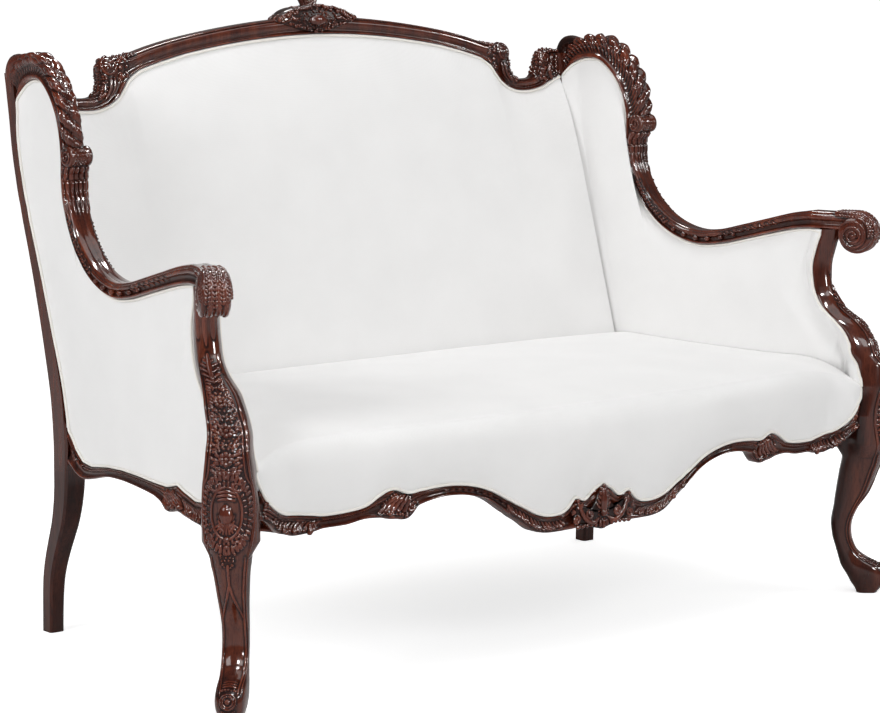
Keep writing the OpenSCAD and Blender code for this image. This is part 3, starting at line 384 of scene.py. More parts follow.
class Carving:
    """Carved strokes gathered into one piece: tapered round ridges that lie half sunk in a surface."""

    def __init__(self):
        self.parts, self.tones, self.line = [], [], []

    def stroke(self, line, normals, radii, lift=0.2, flat=0.85, count=8, steps=12, round_ends=8):
        """A ridge with count points to a ring, lifted and flattened by shares of its radius."""
        k = len(line) - 1
        f = np.linspace(0, 1, steps)
        p = along(line, f * k)
        n = unit(along(normals, f * k))
        r = np.interp(f, np.linspace(0, 1, len(radii)), radii)
        r = r * np.maximum(0.04, 1 - np.abs(2 * f - 1) ** round_ends) ** 0.5
        t = unit(np.gradient(p, axis=0))
        b = unit(np.cross(t, n))
        a = np.arange(count) / count * 2 * pi
        c, up = np.cos(a)[None, :, None], np.sin(a)[None, :, None]
        r = r[:, None, None]
        ring = p[:, None] + n[:, None] * lift * r + b[:, None] * r * c + n[:, None] * r * flat * up
        self.parts.append(tube(ring))
        # Painted light: each ring's hollow value is lower on its top, a painted highlight, and higher on its
        # underside by the ground, painted shade
        tone = np.broadcast_to(0.56 - 0.26 * np.sin(a)[None, :], (steps, count)).ravel()
        self.tones.append(np.concatenate([tone, [0.5, 0.5]]))
        self.line.append(p)

    def body(self, rings, tone):
        """A solid among the strokes, with one hollow value all over, which above 0.5 paints it darker as
        shade.
        """
        rings = np.array(rings)
        self.parts.append(tube(rings))
        self.tones.append(np.full(rings.shape[0] * rings.shape[1] + 2, tone))

    def on(self, skin, spots, radii, **more):
        """A stroke through places (s, w) of a skin."""
        k = len(spots) - 1
        count = max(6, 4 * k + 1)
        flat_spots = along(spots, np.linspace(0, k, count))
        found = [skin.at(a, b) for a, b in flat_spots]
        self.stroke([p for p, n in found], [n for p, n in found], radii, **more)

    def pearl(self, skin, s, w, r, lift=0.35):
        p, n = skin.at(s, w)
        d = unit(skin.at(s + 1, w)[0] - p) * r
        self.stroke([p - d, p, p + d], [n, n, n], [r, r], lift=lift, round_ends=2, steps=9)

    def leaf(self, skin, s, w, turn, length, half, lobes, r):
        """An acanthus leaf from its root: a rib with lobes that curl away on both sides."""
        ca, sa = cos(radians(turn)), sin(radians(turn))

        def spot(a, b):
            return (s + a * ca - b * sa, w + a * sa + b * ca)

        self.on(skin, [spot(0, 0), spot(length * 0.5, 0), spot(length, 0)], [r * 0.7, r * 1.05, r * 0.9])
        for i in range(lobes):
            a = length * (i + 0.2) / (lobes + 0.4)
            e = half * sin(pi * (0.2 + 0.68 * (i + 0.5) / lobes))
            for way in (-1, 1):
                lobe = [spot(a + f * e, g * e * way) for f, g in leaf_lobe]
                self.on(skin, lobe, [r * 0.55, r * 0.85, r, r * 0.8])

    def frill(self, skin, s, w, turn, size, count, r):
        """A little fan of lobes, 28 degrees apart."""
        for i in range(count):
            a = radians(turn + (i - (count - 1) / 2) * 28)
            c, d = cos(a) * size, sin(a) * size
            middle = (s + 0.5 * c - 0.1 * d, w + 0.5 * d + 0.1 * c)
            self.on(skin, [(s, w), middle, (s + c, w + d)], [r * 0.5, r, r * 0.85], steps=8)

    def bumps(self, skin, path, count, r, turn, spread=50, stretch=1.6):
        """Small lobes strewn along a path, each with its own lean and size."""
        for i, (s, w) in enumerate(along(path, np.linspace(0, len(path) - 1, count))):
            a = radians(turn + spread * sin(i * 2.39 + w))
            q = r * (0.9 + 0.25 * sin(i * 1.7 + s))
            ds, dw = cos(a) * q * stretch, sin(a) * q * stretch
            self.on(skin, [(s, w), (s + ds * 0.5, w + dw * 0.5), (s + ds, w + dw)], [q * 0.75, q, q * 0.55],
                    steps=7, count=7)

    def curl(self, skin, s, w, r, way, thick):
        """A flat spiral of 1.3 turns that ends in a pearl."""
        spots = []
        for f in np.linspace(0, 1, 12):
            a = radians(468 * f)
            q = mix(r, thick * 0.8, f)
            spots.append((s + q * cos(a), w + way * q * sin(a)))
        self.on(skin, spots, [thick * 0.8, thick, thick * 0.8], steps=28)
        self.pearl(skin, s, w, thick * 1.15)

    def rosette(self, skin, s, w, r, petals):
        for i in range(petals):
            a = 2 * pi * i / petals
            ds, dw = cos(a) * r, sin(a) * r
            petal = [(s + ds * 0.3, w + dw * 0.3), (s + ds, w + dw)]
            self.on(skin, petal, [r * 0.14, r * 0.36, r * 0.2], steps=8)
        self.pearl(skin, s, w, r * 0.33)

    def rays(self, skin, s, w, half_s, half_w, count, r, inner, outer):
        """Short strokes that stand round an oval."""
        for i in range(count):
            a = radians(360 * (i + 0.5) / count)
            c, d = cos(a), sin(a)
            ray = [(s + c * half_s * f, w + d * half_w * f) for f in (inner, (inner + outer) / 2, outer)]
            self.on(skin, ray, [r * 0.6, r, r * 0.8], steps=8)

    def made(self, name, side, look, ground=None, nodes=()):
        """The piece; ground names the piece that the strokes lie on, if it is to be darkened round them."""
        piece = wood(name, joined(self.parts), side, look, nodes, tones=np.concatenate(self.tones))
        if ground:
            self.darken_ground(ground, side)
        return piece

    def darken_ground(self, name, side):
        """The ground round carved strokes is darker, painted shade in the crease round them with the dark
        polish and dust that gather there.
        """
        line = np.concatenate(self.line) * [side, 1, 1] * MM
        tree = KDTree(len(line))
        for i, p in enumerate(line):
            tree.insert(p, i)
        tree.balance()
        low, high = line.min(0) - ground_reach_m, line.max(0) + ground_reach_m

        def value_at(place, normal):
            value = np.zeros(len(place))
            for i in np.nonzero(((place >= low) & (place <= high)).all(1))[0]:
                gap = tree.find(place[i])[2] / ground_reach_m
                if gap < 1:
                    value[i] = 0.5 + 0.34 * (1 - gap * gap)
            return value

        darken(bpy.data.objects[name], value_at)


# How far the darker ground reaches from a carved stroke
ground_reach_m = 0.005


# Materials
def material(name):
    mat = bpy.data.materials.new(name)
    mat.use_nodes = True
    tree = mat.node_tree
    return mat, tree, tree.nodes["Principled BSDF"]


def feed(tree, socket, value):
    """Links a socket to another node's output, or sets it to a plain value."""
    if isinstance(value, bpy.types.NodeSocket):
        tree.links.new(value, socket)
    else:
        socket.default_value = value


def fill(tree, made, *first, **named):
    """Feeds a node's first inputs in order and others by name; any other name is a setting of the node."""
    for key, value in named.items():
        socket = made.inputs.get(key.replace("_", " "))
        if socket is None:
            setattr(made, key, value)
        else:
            feed(tree, socket, value)
    for socket, value in zip(made.inputs, first):
        feed(tree, socket, value)


def node(tree, kind, *first, **named):
    """A new node's outputs, once its inputs and settings are filled."""
    made = tree.nodes.new(kind)
    fill(tree, made, *first, **named)
    return made.outputs


def roughen(tree, shader, height, strength, depth_m):
    bump = node(tree, "ShaderNodeBump", Strength=strength, Distance=depth_m, Height=height)
    fill(tree, shader, Normal=bump["Normal"])


def ramp(tree, source, *stops):
    """Colours by a factor, through stops of a place and a colour."""
    made = tree.nodes.new("ShaderNodeValToRGB")
    colours = made.color_ramp.elements
    while len(colours) < len(stops):
        colours.new(0.5)
    for element, (place, colour) in zip(colours, stops):
        element.position = place
        element.color = (*colour, 1)
    fill(tree, made, Fac=source)
    return made.outputs["Color"]


def darkened(tree, colour, by, amount=1.0):
    """A colour multiplied by another one."""
    made = tree.nodes.new("ShaderNodeMix")
    fill(tree, made, amount, data_type="RGBA", blend_type="MULTIPLY")
    feed(tree, made.inputs[6], colour)
    feed(tree, made.inputs[7], by)
    return made.outputs[2]


def polished_mahogany(name, grain_turn):
    """Dark red-brown polished wood: fine pores along the grain, crests lighter with painted highlight and
    wear, and hollows darker with painted shade.
    """
    mat, tree, shader = material(name)
    place = node(tree, "ShaderNodeTexCoord")["Object"]
    grain = node(tree, "ShaderNodeMapping", place, Rotation=grain_turn, Scale=(1, 1, 0.09))[0]
    figure = node(tree, "ShaderNodeTexNoise", grain, Scale=38, Detail=7, Roughness=0.62)["Fac"]
    pores = node(tree, "ShaderNodeTexNoise", grain, Scale=420, Detail=3, Roughness=0.7)["Fac"]
    tone = ramp(tree, figure, (0.3, (0.036, 0.0072, 0.0038)), (0.5, (0.072, 0.0148, 0.0072)),
                (0.7, (0.128, 0.0285, 0.0120)))
    pore = ramp(tree, pores, (0.36, (0.45, 0.4, 0.4)), (0.5, (1, 1, 1)))
    tone = darkened(tree, tone, pore, 0.7)
    hollow = node(tree, "ShaderNodeAttribute", attribute_name="hollow")["Fac"]
    # Painted light: the hollow value multiplies the colour up to 1.5 times lighter on crests, a painted
    # highlight with some wear, and down to a tenth in hollows, painted shade
    painted_light_and_wear = ramp(tree, hollow, (0.3, (1.5, 1.35, 1.25)), (0.5, (1, 1, 1)), (0.62, (0.5, 0.45, 0.43)),
                (0.84, (0.12, 0.1, 0.1)))
    tone = darkened(tree, tone, painted_light_and_wear)
    rough = ramp(tree, hollow, (0.5, (0.2,) * 3), (0.76, (0.5,) * 3))
    gloss = ramp(tree, hollow, (0.5, (0.8,) * 3), (0.76, (0.4,) * 3))
    fill(tree, shader, Base_Color=tone, Roughness=rough, Coat_Weight=gloss, Coat_Roughness=0.07,
         Specular_IOR_Level=0.05)
    roughen(tree, shader, pores, 0.08, 0.0006)
    return mat


def sawn_beech():
    mat, tree, shader = material("sawn_beech")
    place = node(tree, "ShaderNodeTexCoord")["Object"]
    stretch = node(tree, "ShaderNodeMapping", place, Scale=(0.15, 1, 1))[0]
    grain = node(tree, "ShaderNodeTexNoise", stretch, Scale=30, Detail=6, Roughness=0.6)["Fac"]
    tone = ramp(tree, grain, (0.3, (0.40, 0.26, 0.15)), (0.7, (0.62, 0.45, 0.29)))
    fill(tree, shader, Base_Color=tone, Roughness=0.75)
    roughen(tree, shader, grain, 0.3, 0.0005)
    return mat


def woven_cloth(name, colour, threads, depth_m, sheen=0.25):
    """Plain weave on the object's own coordinates, with slubs and a soft nap."""
    mat, tree, shader = material(name)
    place = node(tree, "ShaderNodeTexCoord")["Object"]
    tone = node(tree, "ShaderNodeTexNoise", place, Scale=9, Detail=4)["Fac"]
    light = ramp(tree, tone, (0.3, tuple(c * 0.965 for c in colour)), (0.7, colour))
    waves = []
    for turn in ((0.0, 0.6, 0.0), (0.6, 0.0, pi / 2)):
        lie = node(tree, "ShaderNodeMapping", place, Rotation=turn)[0]
        wave = node(tree, "ShaderNodeTexWave", lie, Scale=threads, Distortion=1.2, Detail=1.5)
        waves.append(wave["Fac"])
    weave = node(tree, "ShaderNodeMath", *waves, operation="MULTIPLY")[0]
    shade = ramp(tree, weave, (0.0, (0.985, 0.985, 0.985)), (0.5, (1, 1, 1)))
    fill(tree, shader, Base_Color=darkened(tree, light, shade), Roughness=0.85, Sheen_Weight=sheen,
         Sheen_Roughness=0.5, Specular_IOR_Level=0.2)
    roughen(tree, shader, weave, 0.1, depth_m)
    return mat


mahogany_up = polished_mahogany("mahogany_up", (0, 0, 0))
mahogany_long = polished_mahogany("mahogany_long", (0, pi / 2, 0))
mahogany_deep = polished_mahogany("mahogany_deep", (pi / 2, 0, 0))
beech = sawn_beech()
cover = woven_cloth("cover_cloth", (0.86, 0.855, 0.85), 260, 0.0004)
piping_cloth = woven_cloth("piping_cloth", (0.84, 0.81, 0.76), 330, 0.0004)
web_cloth = woven_cloth("web_cloth", (0.2, 0.17, 0.15), 150, 0.0008)
black_cloth = woven_cloth("black_cloth", (0.02, 0.02, 0.022), 200, 0.0004, 0.1)


# Section of the arm and wing: points across the face from the fabric, with shares of half the thickness
arm_half = [[0, 0.52], [0.02, 0.78], [0.09, 0.92], [0.17, 0.88], [0.21, 0.76], [0.32, 0.7], [0.46, 0.76],
            [0.56, 0.92], [0.62, 0.985], [0.72, 0.99], [0.8, 0.93], [0.83, 0.84], [0.88, 0.84], [0.97, 0.74],
            [1.0, 0.55], [1.0, 0.34], [0.975, 0.2], [0.975, 0.07]]
arm_section = ring_of([[a, -b] for a, b in arm_half] + arm_half[::-1], 120)
arm_faces = [[8, 0.85], [9, 0.75], [10, 0.78], [12, 0.88], [14, 0.98], [17, 1.03], [19, 1.18]]
wing_faces = [[0, 1.1], [1, 1.14], [3, 1.12], [5, 1.02], [6.5, 0.88], [7.3, 0.8], [7.6, 0.6], [8, 0.57]]


def arm_width(t):
    return arm_face * at_key(arm_faces, t)


scroll_z = arm_h + float(arm_width(arm_end)) - scroll_r
scroll_turn = 264


def arm_rail_rings():
    """The arm rail's rings from the wing down to the arm post and round the scroll."""
    m = arm_section
    t = np.linspace(wing_end, arm_end, 230)[:, None]
    p, out = edge_yz(t), edge_out(t)
    rail = side_spot(p, out, m[None, :, 0] * arm_width(t), m[None, :, 1] * arm_t / 2)
    s = np.linspace(0.06, 0.96, 12)[:, None]
    front = points(mix(edge_yz(float(arm_end))[0], scroll_y, s), float(arm_h))
    level_out = np.broadcast_to(np.array([0.0, 1.0]), front.shape)
    head = side_spot(front, level_out, m[None, :, 0] * arm_width(arm_end), m[None, :, 1] * arm_t / 2)
    a = np.linspace(0, scroll_turn, 90)[:, None]
    turn = float(side_turn(scroll_y))
    inner = (arm_h - scroll_z) * mix(1, 0.6, smooth(a / 60))
    outer = mix(scroll_r, scroll_r * 0.78, a / scroll_turn)
    wide = mix(1, 1.16, smooth(a / 90))
    r = mix(inner, outer, m[None, :, 0])
    f, up = r * np.sin(np.radians(a)), r * np.cos(np.radians(a))
    b = m[None, :, 1] * wide * arm_t / 2
    x0 = float(side_x(scroll_y))
    curl = points(x0 + f * sin(turn) + b * cos(turn),
                     scroll_y - f * cos(turn) + b * sin(turn), scroll_z + up)
    return np.concatenate([rail, head, curl])


def wing_rings():
    """The wing crest's rings: gadroons that end in bulbs at the edge, fed by flutes from inside."""
    m = arm_section[None, :, :]
    t = np.linspace(0, wing_end, 460)[:, None]
    n, side = m[..., 0], m[..., 1]
    face = wing_face * at_key(wing_faces, t)
    sweep = 1.5 * within(1 - n) ** 1.25
    phase = t * lobe_count / (wing_end - 0.7) + np.where(side < 0, -sweep, sweep) + 0.5 * side
    on = smooth((wing_end - 0.7 - t) / 0.35)
    lobe = np.abs(np.sin(pi * phase)) ** 0.7
    flute = 0.5 - 0.5 * np.cos(2 * pi * 3 * phase)
    bulb = smooth((n - np.where(side < 0, 0.64, 0.5)) / 0.26) * on
    fine = smooth((n - 0.22) / 0.1) * on * np.where(side < 0, 1.1 - 0.5 * bulb, 0.6 - 0.2 * bulb)
    width = face * (n - 0.17 * bulb * (1 - lobe))
    slim = 1 - 0.2 * n * smooth((wing_end - t) / 2)
    thick = side * arm_t / 2 * slim * (1 + bulb * (0.3 * lobe - 0.1))
    thick = thick + n * face * 0.22 * smooth((wing_end - t) / 2)
    thick = thick - np.sign(side) * 2.0 * fine * (1 - flute)
    return side_spot(edge_yz(t), edge_out(t), width, thick, within(t / 0.6))


for side, word in sides:
    wood(word + "_carved_arm", tube(arm_rail_rings()), side, mahogany_deep, [word + "_arm_rail"])
    wood(word + "_gadrooned_wing", tube(wing_rings()), side, mahogany_up, [word + "_wing_crest"])


# Crest rail: shares of the half span with drops for its lower and its upper edge
crest_drop = crest_h - float(level(1.79))
crest_lows = [[0, 0], [0.12, 0.02], [0.245, 0.065], [0.365, 0.135], [0.485, 0.23], [0.575, 0.335],
              [0.65, 0.445], [0.69, 0.57], [0.71, 0.71], [0.728, 0.82], [0.757, 0.92], [0.8, 0.99],
              [0.852, 1], [0.91, 0.955], [0.95, 0.88], [0.98, 0.82], [1, 0.79]]
crest_highs = [[0, -0.26], [0.127, -0.235], [0.252, -0.18], [0.377, -0.1], [0.498, 0], [0.597, 0.11],
               [0.682, 0.23], [0.735, 0.27], [0.776, 0.37], [0.78, 0.6], [0.786, 0.74], [0.812, 0.82],
               [0.852, 0.825], [0.893, 0.79], [0.919, 0.57], [0.95, 0.39], [1, 0.38]]
crest_last = len(crest_lows) - 1
crest_lean = 0.2
crest_section = ring_of([[0, 0.3], [0.01, 0.1], [0.06, 0.0], [0.12, 0.02], [0.16, 0.11], [0.22, 0.14],
                         [0.32, 0.12], [0.46, 0.05], [0.6, 0.01], [0.74, 0.0], [0.84, 0.05], [0.875, 0.12],
                         [0.91, 0.07], [0.96, 0.05], [1.0, 0.14], [1.01, 0.3], [1.0, 0.6], [0.98, 0.86],
                         [0.85, 0.99], [0.5, 1.0], [0.12, 0.99], [0.01, 0.86], [0, 0.6]], 96)


def crest_front(x, z):
    lean = crest_lean * np.maximum(0, z - post_top_h)
    bow = crest_bow * (1 - (x / post_in_x) ** 2)
    return post_front(np.minimum(z, post_top_h)) + lean + crest_t * 0.08 - bow


def crest_xz(rows, t):
    s = along(rows, np.abs(t))
    return points(s[..., 0] * post_in_x * np.sign(t + 1e-12), crest_h - s[..., 1] * crest_drop)


def crest_rings():
    t = np.linspace(-crest_last, crest_last, 560)
    low, high = crest_xz(crest_lows, t)[:, None], crest_xz(crest_highs, t)[:, None]
    p = low + (high - low) * crest_section[None, :, :1]
    y = crest_front(p[..., 0], p[..., 1]) + crest_section[None, :, 1] * crest_t
    return points(p[..., 0], y, p[..., 1])


wood("carved_crest", tube(crest_rings()), 1, mahogany_long, ["crest_rail"])


# Front legs and arm posts: rings along the outward diagonal
leg_rows = [[0, -0.21, 0.42, 0.38], [0.023, -0.26, 0.52, 0.45], [0.058, -0.39, 0.68, 0.53],
            [0.104, -0.53, 0.71, 0.57], [0.15, -0.69, 0.55, 0.55], [0.191, -0.77, 0.1, 0.51],
            [0.24, -0.85, -0.21, 0.48], [0.313, -0.97, -0.37, 0.467], [0.397, -1.02, -0.37, 0.467],
            [0.481, -0.95, -0.18, 0.49], [0.568, -0.89, 0.11, 0.53], [0.678, -0.8, 0.35, 0.6],
            [0.76, -0.72, 0.5, 0.7]]
leg_round = ring_of([[-1, 0], [-0.94, -0.62], [-0.6, -0.95], [0, -1], [0.62, -0.9], [0.92, -0.5], [1, 0],
                     [0.92, 0.5], [0.62, 0.9], [0, 1], [-0.6, 0.95], [-0.94, 0.62]], 168)
leg_block = ring_of([[-1, 1], [-1, 0.53], [-1, 0.06], [-1, -0.41], [-0.64, -0.82], [0.09, -0.91],
                     [0.59, -0.59], [0.91, -0.09], [0.82, 0.64], [0.41, 1], [-0.06, 1], [-0.53, 1]], 168)
leg_front = 84
post_rows = [[0.16, -0.12, -0.04, 2.18, 1.68], [0.277, -0.1, -0.03, 1.95, 1.66],
             [0.335, 0.23, 0.08, 1.87, 1.52], [0.394, 0.27, 0.14, 1.79, 1.44],
             [0.452, 0.38, 0.26, 1.71, 1.42], [0.51, 0.65, 0.45, 1.55, 1.4],
             [0.569, 0.92, 0.71, 1.26, 1.2], [0.627, 1.04, 0.87, 1.1, 1.08], [0.685, 1.1, 0.95, 1.05, 1.05],
             [0.8, 1.08, 1, 1.05, 1.05], [0.918, 0.88, 0.93, 1.05, 1.05], [1, 0.7, 0.86, 1.1, 1.05]]
post_low = post_rows[0][0]


def diagonal_ring(cx, cy, back, front, width, z):
    mid, half = (back + front) / 2, (front - back) / 2
    t = mid[:, None] + leg_round[None, :, 0] * half[:, None]
    e = leg_round[None, :, 1] * width[:, None] / 2
    x, y = cx[:, None] + (t + e) / sqrt(2), cy[:, None] + (e - t) / sqrt(2)
    return points(x, y, z[:, None])


def block_rings(z):
    x = leg_x + leg_block[None, :, 0] * block
    y = leg_y + leg_block[None, :, 1] * block
    return points(x, y, z[:, None])


def leg_rings():
    top = leg_rows[-1][0]
    h = np.linspace(0, top, 190)
    back, front, width = (at_key(leg_rows, h, k) for k in (1, 2, 3))
    ankle = ankle_w / 0.467
    centre = np.full(h.shape, 1.0)
    lower = diagonal_ring(centre * leg_x, centre * leg_y, back * leg_sweep, front * leg_sweep,
                          width * ankle, h * leg_h)
    f = np.linspace(0, 1, 18)[1:]
    z = mix(top, 0.84, f) * leg_h
    knee = mix(np.repeat(lower[-1:], len(f), 0), block_rings(z), f[:, None, None])
    knee[..., 2] = z[:, None]
    upper = block_rings(np.linspace(0.85, 1, 26) * leg_h)
    return np.concatenate([lower, knee, upper])


def arm_post_c(s):
    s = np.asarray(s, float)
    lean = np.where(s < post_low, 0, at_key(post_rows, s, 1))
    return leg_x - (leg_x - arm_x) * lean, leg_y + arm_post_lean * at_key(post_rows, s, 2)


def arm_post_rings():
    s = np.linspace(post_low, 1, 190)
    cx, cy = arm_post_c(s)
    width, depth = post_w * at_key(post_rows, s, 3), post_w * at_key(post_rows, s, 4)
    upper = diagonal_ring(cx, cy, -depth / 2, depth / 2, width, mix(leg_h, arm_h, s))
    f = np.linspace(0, 1, 34)[:-1]
    z = mix(leg_h, float(mix(leg_h, arm_h, post_low)), f)
    lower = mix(block_rings(z), np.repeat(upper[:1], len(f), 0), f[:, None, None])
    lower[..., 2] = z[:, None]
    return np.concatenate([lower, upper])


def arm_post_back(z):
    s = (np.asarray(z, float) - leg_h) / (arm_h - leg_h)
    w, d = post_w * at_key(post_rows, s, 3), post_w * at_key(post_rows, s, 4)
    reach = np.maximum(0.95 * w + 0.6 * d, 0.62 * w + 0.94 * d) / 2 / sqrt(2)
    post = arm_post_c(s)[1] + reach
    return np.where(s < post_low, mix(leg_y + block, post, within(s / post_low)), post)


def rear_post_rings():
    z = np.concatenate([np.linspace(0, cushion_low, 60),
                        np.linspace(cushion_low + 0.5, post_top_h * 0.984, 90)])
    w = mix(rear_foot_w, rear_w, smooth(z / leg_h)) / 2
    y1, y0 = post_back(z), post_front(z)
    low = z < cushion_low
    r = rear_w * 0.09
    cut = np.where(low, r, rear_w * 0.18)
    hide = np.maximum(r, post_depth(z) - post_depth(z, 2))
    k = np.where(low, 0.5, 0.0)
    x = post_in_x + rear_w / 2 + z * 0
    corners = [(x - w, y0 + r), (x - w + r, y0), (x + w - cut, y0),
               (x + w - cut * (1 - k), y0 + hide * (1 - k)), (x + w, y0 + hide), (x + w, y1 - r),
               (x + w - r, y1), (x - w + r, y1), (x - w, y1 - r)]
    ring = np.stack([points(a, b, z) for a, b in corners], 1)
    nxt = np.roll(ring, -1, 1)
    return np.concatenate([ring, mix(ring, nxt, 0.34), mix(ring, nxt, 0.67)], 2).reshape(len(z), -1, 3)


def inner_shade(side):
    """Painted shade: the faces toward the middle, below the seat and the arms, are darker."""
    def value_at(place, normal):
        inward = smooth((-normal[:, 0] * side - 0.55) / 0.35)
        return 0.5 + 0.16 * inward * smooth((leg_h + 105 - place[:, 2] / MM) / 100)
    return value_at


# Painted shade: the inner faces darken under the seat and arms, and the rear posts' hollow value rises below
# the seat rail, so they are darker there
for side, word in sides:
    for name, rings, node_name, angle, value_at in (
            ("_carved_leg", leg_rings(), "_front_leg", 60, inner_shade(side)),
            ("_carved_arm_post", arm_post_rings(), "_arm_post", 60, inner_shade(side)),
            ("_raked_rear_post", rear_post_rings(), "_rear_post", 30,
             lambda place, normal: 0.5 + 0.11 * smooth((leg_h - place[:, 2] / MM) / 70))):
        piece = wood(word + name, tube(rings), side, mahogany_up, [word + node_name], angle)
        darken(piece, value_at)


# Front rail: shares of the half length with the drops of its upper and its lower edge
apron_rows = [[0, 0.39, 1.02], [0.03, 0.46, 1.02], [0.058, 0.59, 1], [0.09, 0.54, 1.02], [0.114, 0.68, 1.02],
              [0.138, 0.75, 1.02], [0.18, 0.75, 1.01], [0.218, 0.68, 0.95], [0.255, 0.555, 0.79],
              [0.291, 0.436, 0.64], [0.354, 0.227, 0.38], [0.412, 0.11, 0.255], [0.466, 0.064, 0.218],
              [0.51, 0.064, 0.236], [0.56, 0.09, 0.31], [0.582, 0.11, 0.46], [0.598, 0.1, 0.5],
              [0.619, 0.045, 0.482], [0.638, 0.03, 0.47], [0.662, 0.08, 0.436], [0.707, 0.236, 0.427],
              [0.754, 0.29, 0.48], [0.815, 0.31, 0.5], [0.84, 0.29, 0.54], [0.888, 0.255, 0.57],
              [0.917, 0.236, 0.52], [0.955, 0.18, 0.47], [1, 0.136, 0.43]]
flat_share = 0.116
rail_bow = front_bow + block * 0.27
rail_face = along([[0, 1.6], [0.03, 0.5], [0.1, 0.0], [0.18, 0.1], [0.23, 0.6], [0.34, 1.15], [0.5, 1.2],
                   [0.64, 0.7], [0.72, 0.15], [0.78, 0.0], [0.82, 0.4], [0.87, 0.45], [0.94, 0.2],
                   [1.0, 1.0]], np.linspace(0, 13, 52))
lip = rail_t * 0.14


def apron_y(x):
    return front_y + rail_bow * (np.maximum(0, np.abs(x) / half_l - flat_share) / (1 - flat_share)) ** 2


def apron_edge(x, col):
    return leg_h - apron_drop * at_key(apron_rows, np.abs(x) / half_l, col)


def rail_rings(lo, hi, place, top):
    """Rings of a rail: its moulded face, then the rebate, the top, the back and the underside."""
    tall = (hi - lo)[:, None]
    face = points(rail_face[None, :, 1] * lip, lo[:, None] + tall * rail_face[None, :, 0])
    ends = [(rebate, hi), (rebate, top), (rail_t, top), (rail_t, lo + lip), (rail_t - lip, lo)]
    rest = np.stack([points(a, b + 0 * lo) for a, b in ends], 1)
    before = np.concatenate([face[:, -1:], rest[:, :-1]], 1)
    rest = np.stack([mix(before, rest, 0.5), rest], 2).reshape(len(lo), -1, 2)
    ring = np.concatenate([face, rest], 1)
    return place(ring[..., 0], ring[..., 1])


def apron_rings():
    x = np.linspace(-half_l, half_l, 760)
    y = apron_y(x)
    return rail_rings(apron_edge(x, 2), apron_edge(x, 1),
                      lambda d, z: points(x[:, None], y[:, None] + d, z), rail_top_h)


side_rail_rows = [[0, 0.06, 0.45], [0.044, 0.045, 0.41], [0.1, 0.073, 0.39], [0.172, 0, 0.355],
                  [0.22, -0.064, 0.327], [0.29, 0.018, 0.38], [0.33, 0.022, 0.27], [0.38, 0.025, 0.21],
                  [0.492, 0.018, 0.18], [0.6, 0.025, 0.173], [0.71, 0.065, 0.21], [0.825, 0.15, 0.336],
                  [0.89, 0.125, 0.39], [0.94, -0.02, 0.36], [0.97, -0.2, 0.3], [1, -0.36, 0.26]]
side_y0, side_y1 = leg_y + block, float(post_front(leg_h))


def side_sight(y):
    share, upper = np.array(side_rail_rows).T[:2]
    return leg_h - apron_drop * np.interp((y - side_y0) / (side_y1 - side_y0), share, upper)


def side_rail_rings():
    s = np.linspace(0, 1, 300)
    y = mix(side_y0, side_y1, s)
    lo = leg_h - apron_drop * at_key(side_rail_rows, s, 2)
    x = rail_x(y)[:, None] + rail_t / 2
    return rail_rings(lo, side_sight(y), lambda d, z: points(x - d, y[:, None], z), side_rail_top)


wood("carved_front_rail", tube(apron_rings()), 1, mahogany_long, ["front_seat_rail"], 40)
for side, word in sides:
    wood(word + "_carved_side_rail", tube(side_rail_rings()), side, mahogany_deep, [word + "_side_rail"], 40)


# Upholstery: fine grids on the same lines as the part's pads
border_w = welt_d * 1.4
back_face = border_t + back_pad
back_low_z = seat_h - seat_crown
back_step = rear_d * 0.55
welt_r = welt_d / 2
welt_in = fit + welt_r
welt_out = welt_r * 0.6


def crest_low_z(x):
    return crest_h - crest_drop * at_key(crest_lows, np.abs(x) / post_in_x)


def back_y(x, z):
    top = crest_low_z(x)
    s = (z - back_low_z) / (top - back_low_z)
    return mix(rear_y - back_step, crest_front(x, top) + crest_t * 0.2, s)


def back_pad_piece():
    t = np.linspace(-crest_last, crest_last, 260)
    x = crest_xz(crest_lows, t)[:, 0] * (post_in_x - fit) / post_in_x
    top = crest_low_z(x) - fit
    v = np.concatenate([np.linspace(0, 0.8, 34), np.linspace(0.82, 1, 14)])
    z = mix(cushion_low + fit, (top - border_w)[:, None], v[None, :])
    full = 1 - v[None, :] ** 9 + 0 * z
    z = np.concatenate([z, (top - border_w * 0.5)[:, None], top[:, None]], 1)
    full = np.concatenate([full, 0 * full[:, :2]], 1)
    xs = x[:, None] + 0 * z
    edge = 1 - 0.3 * np.abs(xs / post_in_x) ** 16
    face = back_y(xs, z) - border_t
    front = points(xs, face - back_pad * full * edge, z)
    return shell(front, points(xs, back_y(xs, z) - fit, z))


wing_steps = [i * (wing_end - 0.7) / lobe_count for i in range(lobe_count + 1)]
wood_steps = wing_steps + list(np.linspace(wing_end, arm_end, 14))
wood_last = len(wood_steps) - 1
post_steps = [mix(leg_h, arm_h, post_rows[i][0]) for i in range(len(post_rows) - 2, -1, -1)]
knee_steps = [mix(leg_h, post_steps[-1], 0.5), leg_h]
rail_last = len(side_rail_rows) - 1
bottoms = [1.0]
for i in range(rail_last, 0, -1):
    n = 2 if i > rail_last - 4 or i < 4 else 3
    bottoms += [mix(side_rail_rows[i][0], side_rail_rows[i - 1][0], j / n) for j in range(1, n + 1)]
rear_steps = [z * post_top_h for z in (0.5, 0.6, 0.7, 0.8, 0.9)]
fabric_z0 = float(edge_yz(0.0)[1])
side_rows = [0, 0.16, 0.36, 0.62, 0.84, 0.93, 1]
inner_b = border_t * 2
outer_b = rail_t / 2 - rebate + fit * 2


